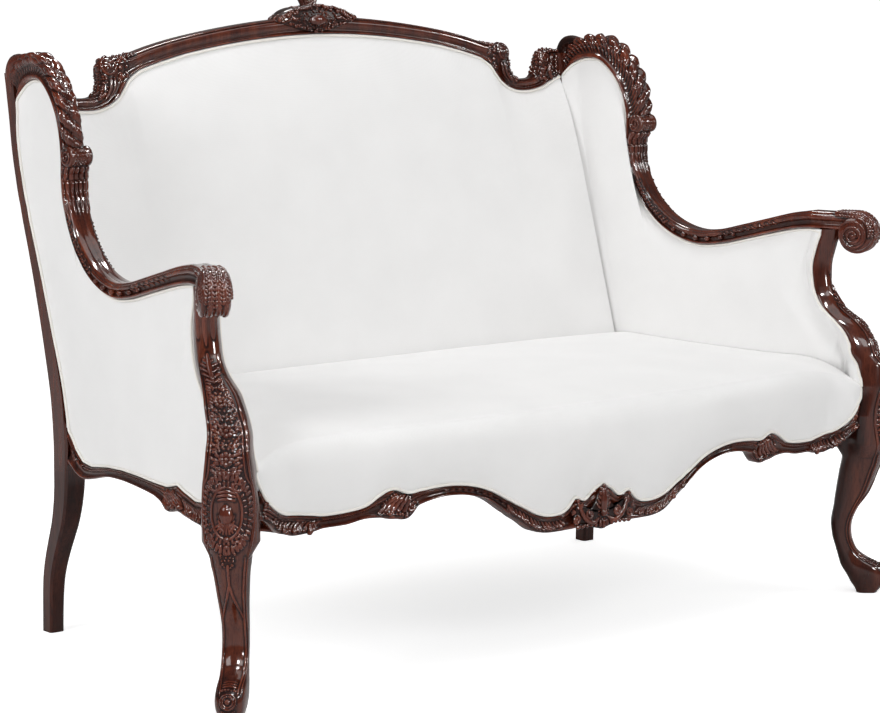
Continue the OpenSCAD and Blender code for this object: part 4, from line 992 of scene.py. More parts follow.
def side_tops(k, lowest):
    """The wood's edge at a place counted in the part's columns, and the same a border in from it."""
    heights = post_steps + lowest
    t = np.interp(k, range(wood_last + 1), wood_steps)
    p, out = edge_yz(t), edge_out(t)
    wood = (p - out * fit, p - out * border_w)
    z = np.interp(k, range(wood_last, wood_last + len(heights) + 1), [arm_h - fit] + heights)
    y = arm_post_back(z) + fit
    post = (points(y, z), points(y + border_w * 1.4, z))
    w = within(k - wood_last)[:, None]
    return [mix(a, b, w) for a, b in zip(wood, post)]


def near_post(y, z):
    return smooth(1 + (y - post_front(z)) / rear_d)


def inner_face(y, z):
    return mix(inner_b, wall_x(y, z) - post_in_x - fit, near_post(y, z))


def outer_face(y, z):
    return mix(outer_b, post_in_x + rear_w - rear_w * 0.18 + fit - wall_x(y, z), near_post(y, z))


def side_place(y, z, b, w):
    a = side_turn(y)
    return points(wall_x(y, z) + b * mix(1, np.cos(a), w), y + b * np.sin(a) * w, z)


def side_grid(low, lowest, outside):
    """Places y and z over the side's fabric, with how far along, how far up and how turned each is."""
    count = wood_last + len(post_steps) + len(lowest)
    k = np.unique(np.concatenate([np.linspace(0, count, 250), np.arange(count + 1)]))
    edge, border = side_tops(k, lowest)
    share = np.interp(k / count * (len(bottoms) - 1), range(len(bottoms)), bottoms)
    y = mix(side_y0 + fit, side_y1 - fit, share)
    z = np.minimum(low if low else side_sight(y) + fit * 2, edge[:, 1] - fit)
    bottom = points(y, z)
    v = np.concatenate([np.linspace(0, 0.86, 30), np.linspace(0.88, 1, 10)])
    spots = mix(bottom[:, None], border[:, None], v[None, :, None])
    rim = mix(border[:, None], edge[:, None], np.array([0.5, 1])[None, :, None])
    spots = np.concatenate([spots, rim], 1)
    v = np.concatenate([v, [1, 1]])
    h = np.interp(v, side_rows, [z[0]] + rear_steps + [fabric_z0 - border_w])
    h[-2:] = fabric_z0 - border_w / 2, fabric_z0 - fit
    rear = points(post_back(h) - post_depth(h, 2 if outside else 1) - fit, h)
    first = int(np.searchsorted(k, 1))
    for i in range(first):
        spots[i] = mix(rear, spots[first], k[i])
    turned = (np.clip(k, 0, 1) * (1 - np.clip(k - wood_last, 0, 1)))[:, None] * v[None, :]
    return spots[..., 0], spots[..., 1], (k / count)[:, None], v[None, :], turned


def inside_arm_piece():
    y, z, u, v, w = side_grid(cushion_low, [], False)
    s = within((u - 0.03) / 0.97)
    full = (1 - np.abs(2 * s - 1) ** 8) ** 0.7 * (1 - v ** 9)
    thin = smooth((y - arm_post_back(np.maximum(z, leg_h)) - 5) / 70)
    full = full * mix(1, thin, smooth((z - seat_h + 10) / 70))
    face = inner_face(y, z) + arm_pad * full * (1 - near_post(y, z))
    return shell(side_place(y, z, -face, w), side_place(y, z, -border_t + 0 * y, w))


def outside_arm_piece():
    y, z, u, v, w = side_grid(0, knee_steps, True)
    face = outer_face(y, z) + panel_t * (1 + np.sin(pi * u) * np.sin(pi * v) ** 2)
    return shell(side_place(y, z, face, w), side_place(y, z, outer_face(y, z), w))


corner_x = leg_x - post_w * 0.88
# The seat's corner swells forward and its seam climbs, each over the last stretch of the rail
corner_swell, swell_run = 31, 96
seam_climb, climb_run = 50, 66


def seat_side(y, z):
    spread = mix(half_l, corner_x, within((z - leg_h) / (arm_h - leg_h) / post_low))
    pad = wall_x(y, z) - border_t * 2 - arm_pad - border_t * 0.3
    return np.minimum(spread, np.where(z < leg_h, half_l, pad)) - fit


def corner_out(x):
    """How far the seat's corner and the rail under it swell forward to meet the knee."""
    return corner_swell * smooth((np.abs(x) - half_l + swell_run) / swell_run) ** 1.5


def corner_rise(x):
    """How far the seam climbs in a quarter of an oval at the seat's corner."""
    t = within((np.abs(x) - half_l + climb_run) / climb_run)
    return seam_climb * (1 - np.sqrt(1 - 0.995 * t * t))


def seat_piece():
    s = np.sin(np.linspace(-pi / 2, pi / 2, 320))
    x0 = s * half_l
    yf, hi = apron_y(x0) - corner_out(x0), apron_edge(x0, 1) + fit + corner_rise(x0)
    k, e = 1 - np.abs(s) ** 4, 1 - np.abs(s) ** 8
    edge_z = seat_h - seat_crown * (0.35 + 2.1 * (1 - e))
    puff, crown = rebate * k, seat_crown * k
    seam = seat_h - rebate * 0.4
    xb = s * post_in_x
    depth = back_y(xb, seam) - back_face - fit - yf
    rows = [(rebate - fit, hi), (fit, hi), (fit, hi + border_w), (-puff * 0.8, mix(hi, edge_z, 0.25)),
            (-puff * 1.3, mix(hi, edge_z, 0.5)), (-puff, mix(hi, edge_z, 0.8)),
            (rebate * 0.6, edge_z - rebate * 0.3), (rail_t * 0.8, edge_z + rebate * 0.4),
            (depth * 0.2, seat_h - rebate + crown * 1.1), (depth * 0.42, seat_h - rebate + crown * 1.5),
            (depth * 0.72, seat_h - rebate * 0.8 + crown * 1.2), (depth - rebate, seam + crown * 0.3),
            (back_y(xb, seam - rebate) - back_face - fit - yf, seam - rebate),
            (back_y(xb, cushion_low) - back_face - fit - yf, cushion_low), (rebate - fit, cushion_low)]
    rows = np.stack([points(a, b + 0 * s) for a, b in rows])
    t = np.concatenate([[0, 1], np.linspace(2, 11, 90), [12, 13, 13.5, 14]])
    ring = np.swapaxes(along(rows, t), 0, 1)
    y, z = yf[:, None] + ring[..., 0], ring[..., 1]
    return tube(points(s[:, None] * seat_side(y, z), y, z))


def cord(path, up):
    """The points and faces of a welt along a path."""
    d = unit(np.gradient(path, axis=0))
    s = unit(np.cross(d, np.array(up, float)))
    w = np.cross(s, d)
    a = np.arange(10) / 10 * 2 * pi
    c, e = np.cos(a)[None, :, None], np.sin(a)[None, :, None]
    return tube(path[:, None] + welt_r * (s[:, None] * c + w[:, None] * e))


def seat_cord():
    y_end = float(apron_y(half_l) - corner_out(half_l)) - welt_r - fit
    low = float(apron_edge(half_l, 1) + corner_rise(half_l)) + fit + welt_in
    z = mix(low, float(mix(leg_h, arm_h, 0.175)), np.linspace(1, 0, 12))
    rise = points(seat_side(y_end, z) - welt_r, y_end + 4 * (z - low) / (z[0] - low), z)
    x = np.sin(np.linspace(-pi / 2, pi / 2, 760))[6:-6] * (half_l - welt_r)
    seam_z = apron_edge(x, 1) + fit + welt_in + corner_rise(x)
    run = points(x, apron_y(x) - corner_out(x) - welt_out, seam_z)
    return cord(np.concatenate([rise * [-1, 1, 1], run, rise[::-1]]), (0, -1, 0))


def back_cord():
    t = np.linspace(-crest_last, crest_last, 420)[2:-2]
    x = crest_xz(crest_lows, t)[:, 0] * (post_in_x - fit) / post_in_x
    z = crest_low_z(x) - fit - welt_in
    return cord(points(x, back_y(x, z) - border_t - welt_out, z), (0, -1, 0))


def side_cord(lowest, inside):
    count = wood_last + len(post_steps) + len(lowest)
    k = np.linspace(0.3, count, 360)
    edge, border = side_tops(k, lowest)
    p = mix(edge, border, welt_in / border_w)
    y, z = p[:, 0], p[:, 1]
    b = -inner_face(y, z) - welt_out if inside else outer_face(y, z) + panel_t + welt_out
    return side_place(y, z, b, 1 - within(k - wood_last))


post_grid = arm_post_rings()
post_edge = post_grid[np.arange(len(post_grid)), np.argmin(post_grid[..., 0], 1)]
# Heights: where the strip of cloth by the arm post begins, where its welt ends, and where, going down,
# the welt starts to step forward and the strip to bulge
strip_low, welt_low, step_top, bulge_top = 392, 400, 446, 458


def post_corner(z):
    """The line where the cloth and its welt meet the arm post; it steps forward on to the seat's corner."""
    line = np.stack([np.interp(z, post_edge[:, 2], post_edge[:, i]) for i in (0, 1)] + [z], -1)
    line = line + smooth((step_top - z) / 46)[:, None] * np.array([2.5, -9.0, 0])
    return line - np.array([welt_r * 0.7, 0, 0])


def arm_border_piece():
    """The cloth that turns from the arm pad's edge to the arm post's inner corner."""
    z = np.linspace(strip_low, arm_h - 1, 70)
    y = arm_post_back(z) + border_w
    pad = side_place(y, z, -inner_face(y, z) + 0.4, 0)
    u = np.linspace(0, 1, 12)[None, :, None]
    front = mix(pad[:, None], post_corner(z)[:, None], u)
    bulge = 2.5 + 5.5 * smooth((bulge_top - z) / 30)
    front[..., 0] -= bulge[:, None] * np.sin(pi * u[..., 0] ** 1.5)
    return shell(front, front + np.array([7.0, 0, 0]))


def inner_cord():
    """The inside welt: under the arm's wood, then down the arm post's inner corner to the seat."""
    rail = side_cord([], True)
    steps = np.linspace(0.3, wood_last + len(post_steps), 360)
    post = post_corner(np.linspace(arm_h - 7, welt_low, 90))
    return cord(np.concatenate([rail[steps <= wood_last], post]), (-1, 0, 0))


def outer_cord():
    y = mix(side_y0, side_y1, np.linspace(0.01, 0.985, 140))
    z = side_sight(y) + fit * 2 + welt_in
    b = panel_t + welt_out
    low = side_place(y, z, outer_face(y, z) + b, 0)
    h = np.linspace(rear_steps[0] * 0.86, fabric_z0 - 6, 90)
    y = post_back(h) - post_depth(h, 2) - fit - welt_in
    rear = side_place(y, h, outer_face(y, h) + b, 0)
    side = side_cord([knee_steps[0]], False)
    return cord(np.concatenate([side, low, rear, mix(rear[-1:], side[:1], 0.5), side[:1]]), (1, 0, 0))


def soft(name, made, side, node_name, fill_share):
    piece = finish_mesh(name, made, side, cover, [node_name], 60)


def welt(name, made, side, node_name):
    finish_mesh(name, made, side, piping_cloth, [node_name])


soft("tight_seat", seat_piece(), 1, "seat_cushion", 0.95)
soft("tight_back", back_pad_piece(), 1, "inside_back", 0.95)
welt("seat_welt", seat_cord(), 1, "seat_piping")
welt("back_welt", back_cord(), 1, "inside_back_piping")
for side, word in sides:
    soft(word + "_arm_pad", inside_arm_piece(), side, word + "_inside_arm", 0.9)
    soft(word + "_side_panel", outside_arm_piece(), side, word + "_outside_arm", 0.9)
    finish_mesh(word + "_arm_border", arm_border_piece(), side, cover, [], 60)
    welt(word + "_inner_welt", inner_cord(), side, word + "_inside_piping")
    welt(word + "_outer_welt", outer_cord(), side, word + "_outside_piping")


# Carving on the legs and arm posts
def circle(s, w, half_s, half_w, count):
    """Places round an oval, the last on the first."""
    return [(s + cos(a) * half_s, w + sin(a) * half_w) for a in np.linspace(0, 2 * pi, count)]


def leg_carving(skin):
    """Toe scroll, long pointed leaves, and the knee's cartouche with its shell border."""
    c = Carving()
    at = skin.find
    toe = at(38)
    for r in (12.5, 8.5):
        c.on(skin, circle(toe, 0, r, r, 17), [1.7, 1.7], steps=40, round_ends=40)
    c.pearl(skin, toe, 0, 4.5)
    for k in (0, 6, 12):
        c.on(skin, [(at(56) + k, -13), (at(58) + k, 0), (at(56) + k, 13)], [1.2, 2.4, 1.2], steps=14)
    c.bumps(skin, [(toe + 16, -12), (toe + 20, 0), (toe + 16, 12)], 7, 2.6, 0, 40)
    c.bumps(skin, [(toe - 15, -10), (toe - 18, 0), (toe - 15, 10)], 6, 2.4, 180, 40)
    for way in (-1, 1):
        for line, radii, steps in (
                (((45, 15), (90, 19), (150, 18), (215, 23), (270, 30)), [1.6, 1.9, 1.9, 2.2, 2.4], 50),
                (((46, 21), (100, 24), (160, 24), (225, 31), (270, 37)), [1.2, 1.5, 1.5, 1.8, 2.0], 50),
                (((222, 0), (204, 4), (184, 10), (158, 18)), [2.8, 2.4, 2.2, 1.4], 30)):
            c.on(skin, [(at(z), w * way) for z, w in line], radii, steps=steps)
        c.bumps(skin, [(at(286), 11 * way), (at(270), 9 * way), (at(254), 4 * way)], 7, 2.6, 180 - 50 * way)
        c.bumps(skin, [(at(282), 3 * way), (at(266), 3 * way)], 4, 2.2, 180)
    c.on(skin, [(at(258), 0), (at(240), 0), (at(214), 0)], [3.0, 2.4, 2.2], steps=26)
    for z, r in ((300, 5.2), (288, 4.2), (277, 3.4)):
        c.pearl(skin, at(z), 0, r)
    middle = at(342)
    c.rays(skin, middle, 0, 62, 43, 40, 3.4, inner=0.84, outer=1.1)
    c.rays(skin, middle, 0, 50, 33, 30, 2.4, inner=0.86, outer=1.05)
    for s, w in circle(middle, 0, 57, 39, 21)[:-1]:
        c.pearl(skin, s, w, 2.2)
    c.on(skin, circle(middle, 0, 42, 25, 25), [2.4, 2.4], steps=64, round_ends=60)
    for w in np.linspace(-60, 60, 9):
        a = radians(180 + w)
        fan = [(middle - 12 + p * cos(a), q * sin(a)) for p, q in ((0, 0), (14, 14), (24, 22))]
        c.on(skin, fan, [0.8, 1.8, 2.2], steps=10)
    c.on(skin, [(middle - 18, 0), (middle - 4, 0), (middle + 14, 0)], [8, 12.5, 9], steps=16, round_ends=3,
         flat=0.55)
    for k, half in ((20, 15), (26, 17), (32, 15)):
        c.on(skin, [(middle + k, -half), (middle + k + 3, 0), (middle + k, half)], [2.2, 3.0, 2.2], steps=16)
    for way in (-1, 1):
        for k in (-30, -22, -14):
            lobe = [(middle + k, 3 * way), (middle + k + 4, 9 * way), (middle + k + 11, 13 * way)]
            c.on(skin, lobe, [1.6, 2.4, 1.8])
        c.leaf(skin, middle - 34, 26 * way, 160 if way > 0 else -200, 30, 9, 3, 2.4)
        curl = []
        for f in np.linspace(0, 1, 14):
            a, r = 4.6 * f * pi / 2, 13 - 11 * f
            curl.append((middle + 44 + r * cos(a), way * (17 + r * sin(a))))
        c.on(skin, curl, [3.2, 2.6, 1.8], steps=34)
    return c


def arm_post_carving(skin):
    """A column of flowers on a husked ground between two mouldings, a leaf over it and flutes above."""
    c = Carving()
    at = skin.find

    def half(z):
        s = (z - leg_h) / (arm_h - leg_h)
        return post_w * float(at_key(post_rows, s, 3)) * 0.5

    for way in (-1, 1):
        for inset, r in ((3, 2.6), (10, 1.8)):
            line = [(at(z), way * (half(z) - inset)) for z in (402, 440, 480, 520, 548)]
            knee = [(at(z), way * (w - inset * 0.4))
                    for z, w in ((268, 37), (300, 46), (330, 51), (360, 50), (384, 45))]
            c.on(skin, knee + line, [r * 0.8] + [r] * 6 + [r * 0.9, r * 0.7], steps=110)
    for z in (428, 470, 512):
        c.rosette(skin, at(z), 0, 12.5, 8)
        c.rays(skin, at(z), 0, 19, 19, 14, 2.4, inner=0.8, outer=1.05)
    for z in (408, 449, 491, 530):
        for way in (-1, 1):
            c.leaf(skin, at(z), 2 * way, 90 * way, half(z) * 0.5, 6, 2, 1.9)
        c.pearl(skin, at(z), 0, 2.6)
    for i in range(34):
        z = 404 + i * 4.1
        for way in (-1, 1):
            w = min(18 + 5 * sin(i * 2.4), half(z) - 14) * way
            a = radians(40 * sin(i * 1.3))
            husk = [(at(z) - 3, w - 4 * way), (at(z) + 2, w + 5 * sin(a)), (at(z) + 1, w + 5 * way)]
            c.on(skin, husk, [1.8, 3.0, 1.6], steps=7)
    c.leaf(skin, at(536), 0, 0, 52, 15, 5, 3.0)
    c.on(skin, [(at(540), 0), (at(560), 0), (at(582), 0)], [4.4, 5.2, 2.6], steps=18)
    for w in (-13, 0, 13):
        flute = [(at(z), w) for z in (592 + abs(w) * 0.8, 612, 640, 668, 684)]
        c.on(skin, flute, [1.6, 5.2, 5.6, 5.6, 5], steps=40, lift=-0.45)
    return c


post_skin = Skin(np.concatenate([leg_rings()[:-1], arm_post_rings()]), leg_front, 2)
for side, word in sides:
    leg_work = leg_carving(post_skin)
    leg_work.made(word + "_knee_carving", side, mahogany_up, word + "_carved_leg")
    leg_work.darken_ground(word + "_carved_arm_post", side)
    arm_post_carving(post_skin).made(word + "_flower_column", side, mahogany_up, word + "_carved_arm_post")


# Carving on the arm rails and wings
face_column = 60
arm_skin, wing_skin = Skin(arm_rail_rings(), face_column), Skin(wing_rings(), face_column)
arm_rail_last, wing_last = 229, 459
scroll_lie = float(side_turn(scroll_y))
scroll_axis = np.array([cos(scroll_lie), sin(scroll_lie), 0.0])
scroll_ahead = np.array([sin(scroll_lie), -cos(scroll_lie), 0.0])
scroll_middle = np.array([float(side_x(scroll_y)), scroll_y, scroll_z])
up = np.array([0, 0, 1.0])


def arm_s(t):
    return float(arm_skin.s[int(round((t - wing_end) / (arm_end - wing_end) * arm_rail_last))])


def wing_s(t):
    return float(wing_skin.s[int(round(t / wing_end * wing_last))])


def arm_carving():
    """Pearls and leaf band at the dip, flutes over the scroll and its spiral sides."""
    c = Carving()
    face_w = 30
    for i, t in enumerate(np.linspace(12.3, 15.6, 7)):
        r = 3.6 + 2.4 * sin(pi * (i + 0.5) / 7)
        for way in (-1, 1):
            c.pearl(arm_skin, arm_s(t), way * (face_w + 6), r, lift=0.5)
    for i, t in enumerate(np.linspace(10.0, 12.3, 14)):
        for way in (-1, 1):
            s0 = arm_s(t)
            leaf = [(s0 + a, way * (face_w + b)) for a, b in ((-4, 12), (2, 4), (9, -5))]
            c.on(arm_skin, leaf, [1.6, 3.4, 1.6], steps=9)
            if i % 2:
                c.pearl(arm_skin, s0, way * (face_w - 8), 2.0)
    for t in np.linspace(15.4, 17.4, 8):
        for way in (-1, 1):
            s0 = arm_s(t)
            leaf = [(s0 - a, way * (face_w + b)) for a, b in ((0, 8), (5, 2), (9, -2))]
            c.on(arm_skin, leaf, [1.0, 2.0, 1.0], steps=9)
    crown = float(arm_skin.s[arm_rail_last + 12])
    start, tip, end = crown - 36, crown + scroll_r * 1.9, float(arm_skin.s[-1])
    for w in (-20, -6.7, 6.7, 20):
        c.on(arm_skin, [(mix(tip - 30, end - 3, f), w) for f in np.linspace(0, 1, 9)], [1.0, 5.4, 5.8, 5.4],
             steps=40, lift=-0.35, count=10)
    for w in np.linspace(-30, 30, 6):
        late = 6 - abs(w) * 0.5
        c.on(arm_skin, [(mix(start, tip + late, f), w * mix(0.7, 1, f)) for f in np.linspace(0, 1, 7)],
             [1.4, 3.0, 3.2, 2.4], steps=36)
        for i in range(17):
            f = (i + 0.6) / 17
            s0, v = mix(start, tip + late, f), w * mix(0.7, 1, f)
            for way in (-1, 1):
                husk = [(s0 - 3, v + way), (s0 + 1, v + way * 3.6), (s0 + 4.5, v + way * 5.0)]
                c.on(arm_skin, husk, [1.5, 2.9, 2.3], steps=7, lift=0.45)
    middle = scroll_middle - scroll_ahead * 5 - up * 3.0
    for way in (-1, 1):
        out = scroll_axis * way
        spots = []
        for f in np.linspace(0, 1, 70):
            a = radians(mix(-60, 900, f))
            r = mix(scroll_r * 0.74, 3.5, f ** 0.85)
            spots.append(middle + scroll_ahead * r * sin(a) + up * r * cos(a)
                         + out * (arm_t * 0.53 - 0.5 + 3.0 * f))
        c.stroke(spots, [out] * len(spots), [2.4, 2.6, 2.4, 2.2], steps=170, lift=0.3, round_ends=60)
        hub = middle + out * (arm_t * 0.53 + 1)
        boss = [hub - scroll_ahead * 4, hub, hub + scroll_ahead * 4]
        c.stroke(boss, [out] * 3, [4, 4], round_ends=2, lift=0.3)
    return c


def scroll_cheeks():
    """The round cheeks between the turns of the scroll."""
    a = np.linspace(0, 2 * pi, 48, endpoint=False)[:, None]
    rim = scroll_ahead * np.sin(a) + up * np.cos(a)
    rings = [scroll_middle + scroll_axis * b * arm_t * 0.52 + rim * r * scroll_r
             for b, r in ((-1.0, 0.4), (-1.0, 0.74), (-0.93, 0.82), (0.93, 0.82), (1.0, 0.74), (1.0, 0.4))]
    return tube(np.array(rings))


def wing_roll():
    """The roll under the last lobe, with a spiral on each end and beads round it."""
    c = Carving()
    p = edge_yz(6.9)
    r = wing_face * 0.42
    y, z = p[0] - r - 11, p[1] + 3
    x = float(side_x(y)) + 1
    half = arm_t * 0.5
    a = np.linspace(0, 2 * pi, 48, endpoint=False)
    rings = []
    for b, f in ((-1, 0.5), (-1, 0.9), (-0.94, 1.0), (-0.74, 1.03), (-0.6, 0.95), (-0.45, 0.84), (0, 0.88),
                 (0.45, 0.84), (0.6, 0.95), (0.74, 1.03), (0.94, 1.0), (1, 0.9), (1, 0.5)):
        rings.append(points(x + b * half, y + f * r * np.sin(a), z + f * r * np.cos(a)))
    c.body(rings, 0.5)
    for way in (-1, 1):
        spots = []
        for f in np.linspace(0, 1, 40):
            turn, q = radians(700 * f), mix(r * 0.86, 2.5, f)
            spots.append([x + way * (half + 0.4 + 1.6 * f), y + q * sin(turn), z + q * cos(turn)])
        c.stroke(spots, [[way, 0, 0]] * 40, [2.0, 2.0, 1.6], steps=90, lift=0.1, round_ends=60)
    for b in np.linspace(-0.42, 0.42, 4):
        for k in range(14):
            turn = 2 * pi * k / 14
            n = np.array([0.0, sin(turn), cos(turn)])
            spot = np.array([x + b * half, y, z]) + n * r * 0.85
            d = np.array([2.0, 0, 0])
            c.stroke([spot - d, spot, spot + d], [n] * 3, [1.8, 1.8], round_ends=3, steps=6, count=6)
    for t, size, r in ((7.42, 13, 4.6), (7.72, 13, 4.4)):
        s0 = wing_s(t)
        for w in np.linspace(-38, 38, 9):
            lobe = [(s0 - 7, w), (s0 + size * 0.4, w), (s0 + size, w * 0.9)]
            c.on(wing_skin, lobe, [r, r * 1.1, r * 0.4], steps=10)
    for t, size, r in ((8.3, 14, 3.8), (8.75, 16, 3.2), (9.3, 22, 2.4)):
        s0 = arm_s(t)
        for w in np.linspace(-32, 32, 9):
            lobe = [(s0 - 8, w), (s0 + size * 0.4, w), (s0 + size, w * 0.86)]
            c.on(arm_skin, lobe, [r, r, r * 0.4], steps=10)
    return c


def wing_root():
    """The smooth hollow leaf that carries the rear post's head over into the wing."""
    c = Carving()
    x = post_in_x + rear_w * 0.62
    top = post_top_h
    y = float(post_back(top)) - rear_d * 0.42
    spots = [[x, y + 5, top - 74], [x + 2, y + 4, top - 44], [x + 3, y + 2, top - 16],
             [x + 4, y - 8, top + 1], [x + 5, y - 30, top + 7], [x + 5, y - 56, top + 7]]
    c.stroke(spots, [[1.0, 0, 0]] * 6, [8, 14, 17, 16, 12, 6], lift=0, flat=0.9, count=20, steps=40,
             round_ends=6)
    line = [[x + 10, y - 4, top - 72], [x + 15, y - 8, top - 46], [x + 17, y - 16, top - 24],
            [x + 16, y - 40, top - 12]]
    c.stroke(line, [[1.0, 0, 0]] * 4, [1.4, 2.4, 2.6, 1.6], steps=30)
    return c


for side, word in sides:
    arm_carving().made(word + "_arm_carving", side, mahogany_deep, word + "_carved_arm")
    wood(word + "_scroll_cheeks", scroll_cheeks(), side, mahogany_deep, [], 40)
    wing_root().made(word + "_wing_root", side, mahogany_up)
    wing_roll().made(word + "_wing_roll", side, mahogany_deep, word + "_gadrooned_wing")


# Carving on the crest rail
def flat_spot(x, z, out=0.0):
    """A place on the crest's leaning front plane, out millimetres before it."""
    y = float(crest_front(np.array(x), np.array(min(z, crest_h + 20))))
    return np.array([x, y - out + max(0, z - crest_h - 20) * 0.1, z])


crest_ahead = np.array([0.0, -1.0, 0.2]) / sqrt(1.04)


class Plate:
    """A flat ground for strokes, by height over the crest's edge and length from its middle."""

    def __init__(self, out):
        self.out = out

    def at(self, s, w):
        return [flat_spot(w, crest_h + s, self.out), crest_ahead]


def crest_shell_piece():
    """Oval boss in a scalloped border, sprays of leaves to both sides and a plume over it."""
    c = Carving()
    boss = Plate(5.0)
    outline = [(-93, 28), (-82, 37), (-68, 45), (-50, 50), (-32, 51), (-16, 54), (0, 56), (16, 54), (32, 51),
               (50, 50), (68, 45), (82, 37), (93, 28), (90, 23), (60, 14), (34, 7), (0, 4), (-34, 7),
               (-60, 14), (-90, 23)]
    rim = ring_of(outline, 120)
    rings = []
    for out, f in ((-33, 0.9), (-28, 0.98), (0, 0.98), (3, 0.9), (4.5, 0.6), (5, 0.25)):
        rings.append([flat_spot(x, crest_h + z, out) for x, z in mix(np.array([0, 28.0]), rim, f)])
    # Painted shade: the boss's ground is darker all over, like the ground round the strokes
    c.body(rings, 0.7)
    front, middle, rear = Plate(4.5), Plate(-12.0), Plate(-26.0)
    for half_s, half_w, count, r in ((12, 24, 22, 2.6), (17, 32, 26, 3.6), (21, 42, 24, 4.2)):
        c.bumps(boss if half_w < 30 else front, circle(27, 0, half_s, half_w, 25), count, r, 0, 180, 1.0)
    for plate in (front, middle, rear):
        c.bumps(plate, [(47, -26), (51, -10), (52, 0), (51, 10), (47, 26)], 11, 4.6, 0, 60, 1.1)
        for way in (-1, 1):
            border = [(47, 22 * way), (46, 44 * way), (40, 66 * way), (28, 86 * way)]
            c.bumps(plate, border, 15, 4.8, 50 * way, 50, 1.1)
    for way in (-1, 1):
        for line, r, turn, stretch in ((((40, 44), (38, 60), (30, 76)), 4.4, 75, 1.6),
                                       (((31, 46), (29, 60), (23, 80)), 4.2, 95, 1.6),
                                       (((14, 32), (17, 46), (21, 64)), 3.8, 110, 1.2)):
            c.bumps(front, [(z, x * way) for z, x in line], 9, r, turn * way, 50, stretch)
    c.on(boss, [(25, -20), (26, 0), (25, 20)], [8, 11, 8], steps=24, round_ends=2.2, flat=0.8, count=16)
    foot = 38
    for w, lean, length, r in ((0, 0, 45, 6.0), (-6, -4, 41, 5.0), (6, 4, 41, 5.0), (-11, -9, 33, 4.2),
                               (11, 9, 33, 4.2)):
        feather = [(foot, w * 0.6)] + [(foot + length * a, w + lean * b)
                                       for a, b in ((0.5, 0.25), (0.85, 0.8), (1, 1.25))]
        c.on(Plate(-24.0), feather, [r * 0.9, r * 0.9, r * 1.1, r * 0.8], steps=22, count=10, flat=1.5)
    for way in (-1, 1):
        for k in (50, 56, 62, 68, 74):
            for plate in (Plate(-16.0), Plate(-31.0)):
                c.on(plate, [(k, 2 * way), (k + 4, 7 * way), (k + 5, 11 * way)], [1.4, 2.4, 2.0], steps=8)
    return c


def ball(c, centre, r, turns, way, count):
    """A ball wound round with a flat ribbon that ends in a spiral on its front."""
    centre = np.array(centre, float)
    a = np.linspace(0, 2 * pi, 32, endpoint=False)
    up, right = np.array([0, 0.196, 0.98]), np.array([1.0, 0, 0])
    rim = up * np.cos(a)[:, None] + right * np.sin(a)[:, None]
    # Painted shade: the ball is a little darker all over, as the strokes are on average
    c.body([centre + crest_ahead * b * r + rim * r * sqrt(1 - b * b)
            for b in np.linspace(-0.96, 0.96, 14)], 0.56)
    spots, normals = [], []
    for f in np.linspace(0, 1, 60):
        a, q = 2 * pi * turns * f, mix(0.97, 0.08, f)
        n = crest_ahead * sqrt(1 - q * q) + (up * cos(a) + right * way * sin(a)) * q
        spots.append(centre + n * r)
        normals.append(n)
    c.stroke(spots, normals, [r * 0.12, r * 0.15, r * 0.12], steps=90, lift=0.0, round_ends=60)
    for i in range(count):
        a = 2 * pi * i / count
        n = up * cos(a) + right * sin(a)
        normals = [n * cos(b) + crest_ahead * sin(b) for b in (-1.2, -0.5, 0.0, 0.3)]
        c.stroke([centre + q * r for q in normals], normals, [1.4, 2.8, 2.8, 1.4], steps=12)


class OnWood(Plate):
    """Places of a plate, carried on to the nearest wood of the crest rail and sunk into it."""

    def at(self, s, w):
        spot = flat_spot(w, crest_h + s, self.out)
        near, normal = crest_wood.find_nearest(Vector(spot * MM))[:2]
        normal = np.array(normal)
        return [np.array(near) / MM - normal * 1.4, normal]


def crest_scrolls():
    """Leaf balls at both ends of the arch and rolled leaves beside the wings."""
    c = Carving()

    def lobes(way, rows):
        """Rows of small lobes: places (x, z) of the crest's plane, count, size, turn and depths."""
        for line, count, r, turn, outs in rows:
            for out in outs:
                c.bumps(OnWood(out), [(z - crest_h, x * way) for x, z in line], count, r, turn * way)

    def stem(out, way, line, radii):
        c.on(Plate(out), [(z - crest_h, x * way) for x, z in line], radii, steps=20)

    deep = (-1, -13, -26)
    for way in (-1, 1):
        ball(c, flat_spot(462 * way, 1001, -14), 20, 1.5, way, 9)
        lobes(way, ((((446, 1015), (443, 1003), (442, 990), (446, 979)), 8, 4.8, -110, (1, -6)),
                    (((434, 1015), (430, 1004), (429, 994), (432, 985)), 7, 4.4, -80, (1,)),
                    (((446, 1018), (430, 1022), (412, 1028)), 6, 4.6, -70, (-1, -14, -27)),
                    (((477, 988), (480, 965), (492, 949)), 9, 5.0, 150, deep),
                    (((470, 984), (472, 966), (480, 955)), 6, 3.8, 150, (1,))))
        for x, r in ((463, 3.6), (455, 2.6)):
            stem(1.0, way, ((x, 984), (x + 3, 964), (x + 16, 945)), [r * 0.7, r, r * 0.5])
        ball(c, flat_spot(578 * way, 988, -13), 15, 1.6, -way, 11)
        lobes(way, ((((569, 990), (566, 970), (562, 952)), 9, 5.2, -150, deep),
                    (((578, 972), (574, 960), (573, 948)), 6, 4.4, -160, (1,)),
                    (((588, 997), (600, 999), (613, 999)), 6, 4.8, 30, deep),
                    (((594, 990), (597, 974), (602, 954)), 8, 4.6, 160, (1, -8)),
                    (((607, 990), (609, 974), (612, 956)), 8, 4.6, 140, (1, -8))))
        stem(2.0, way, ((586, 976), (584, 960), (590, 944)), [4, 4.6, 2.4])
    return c


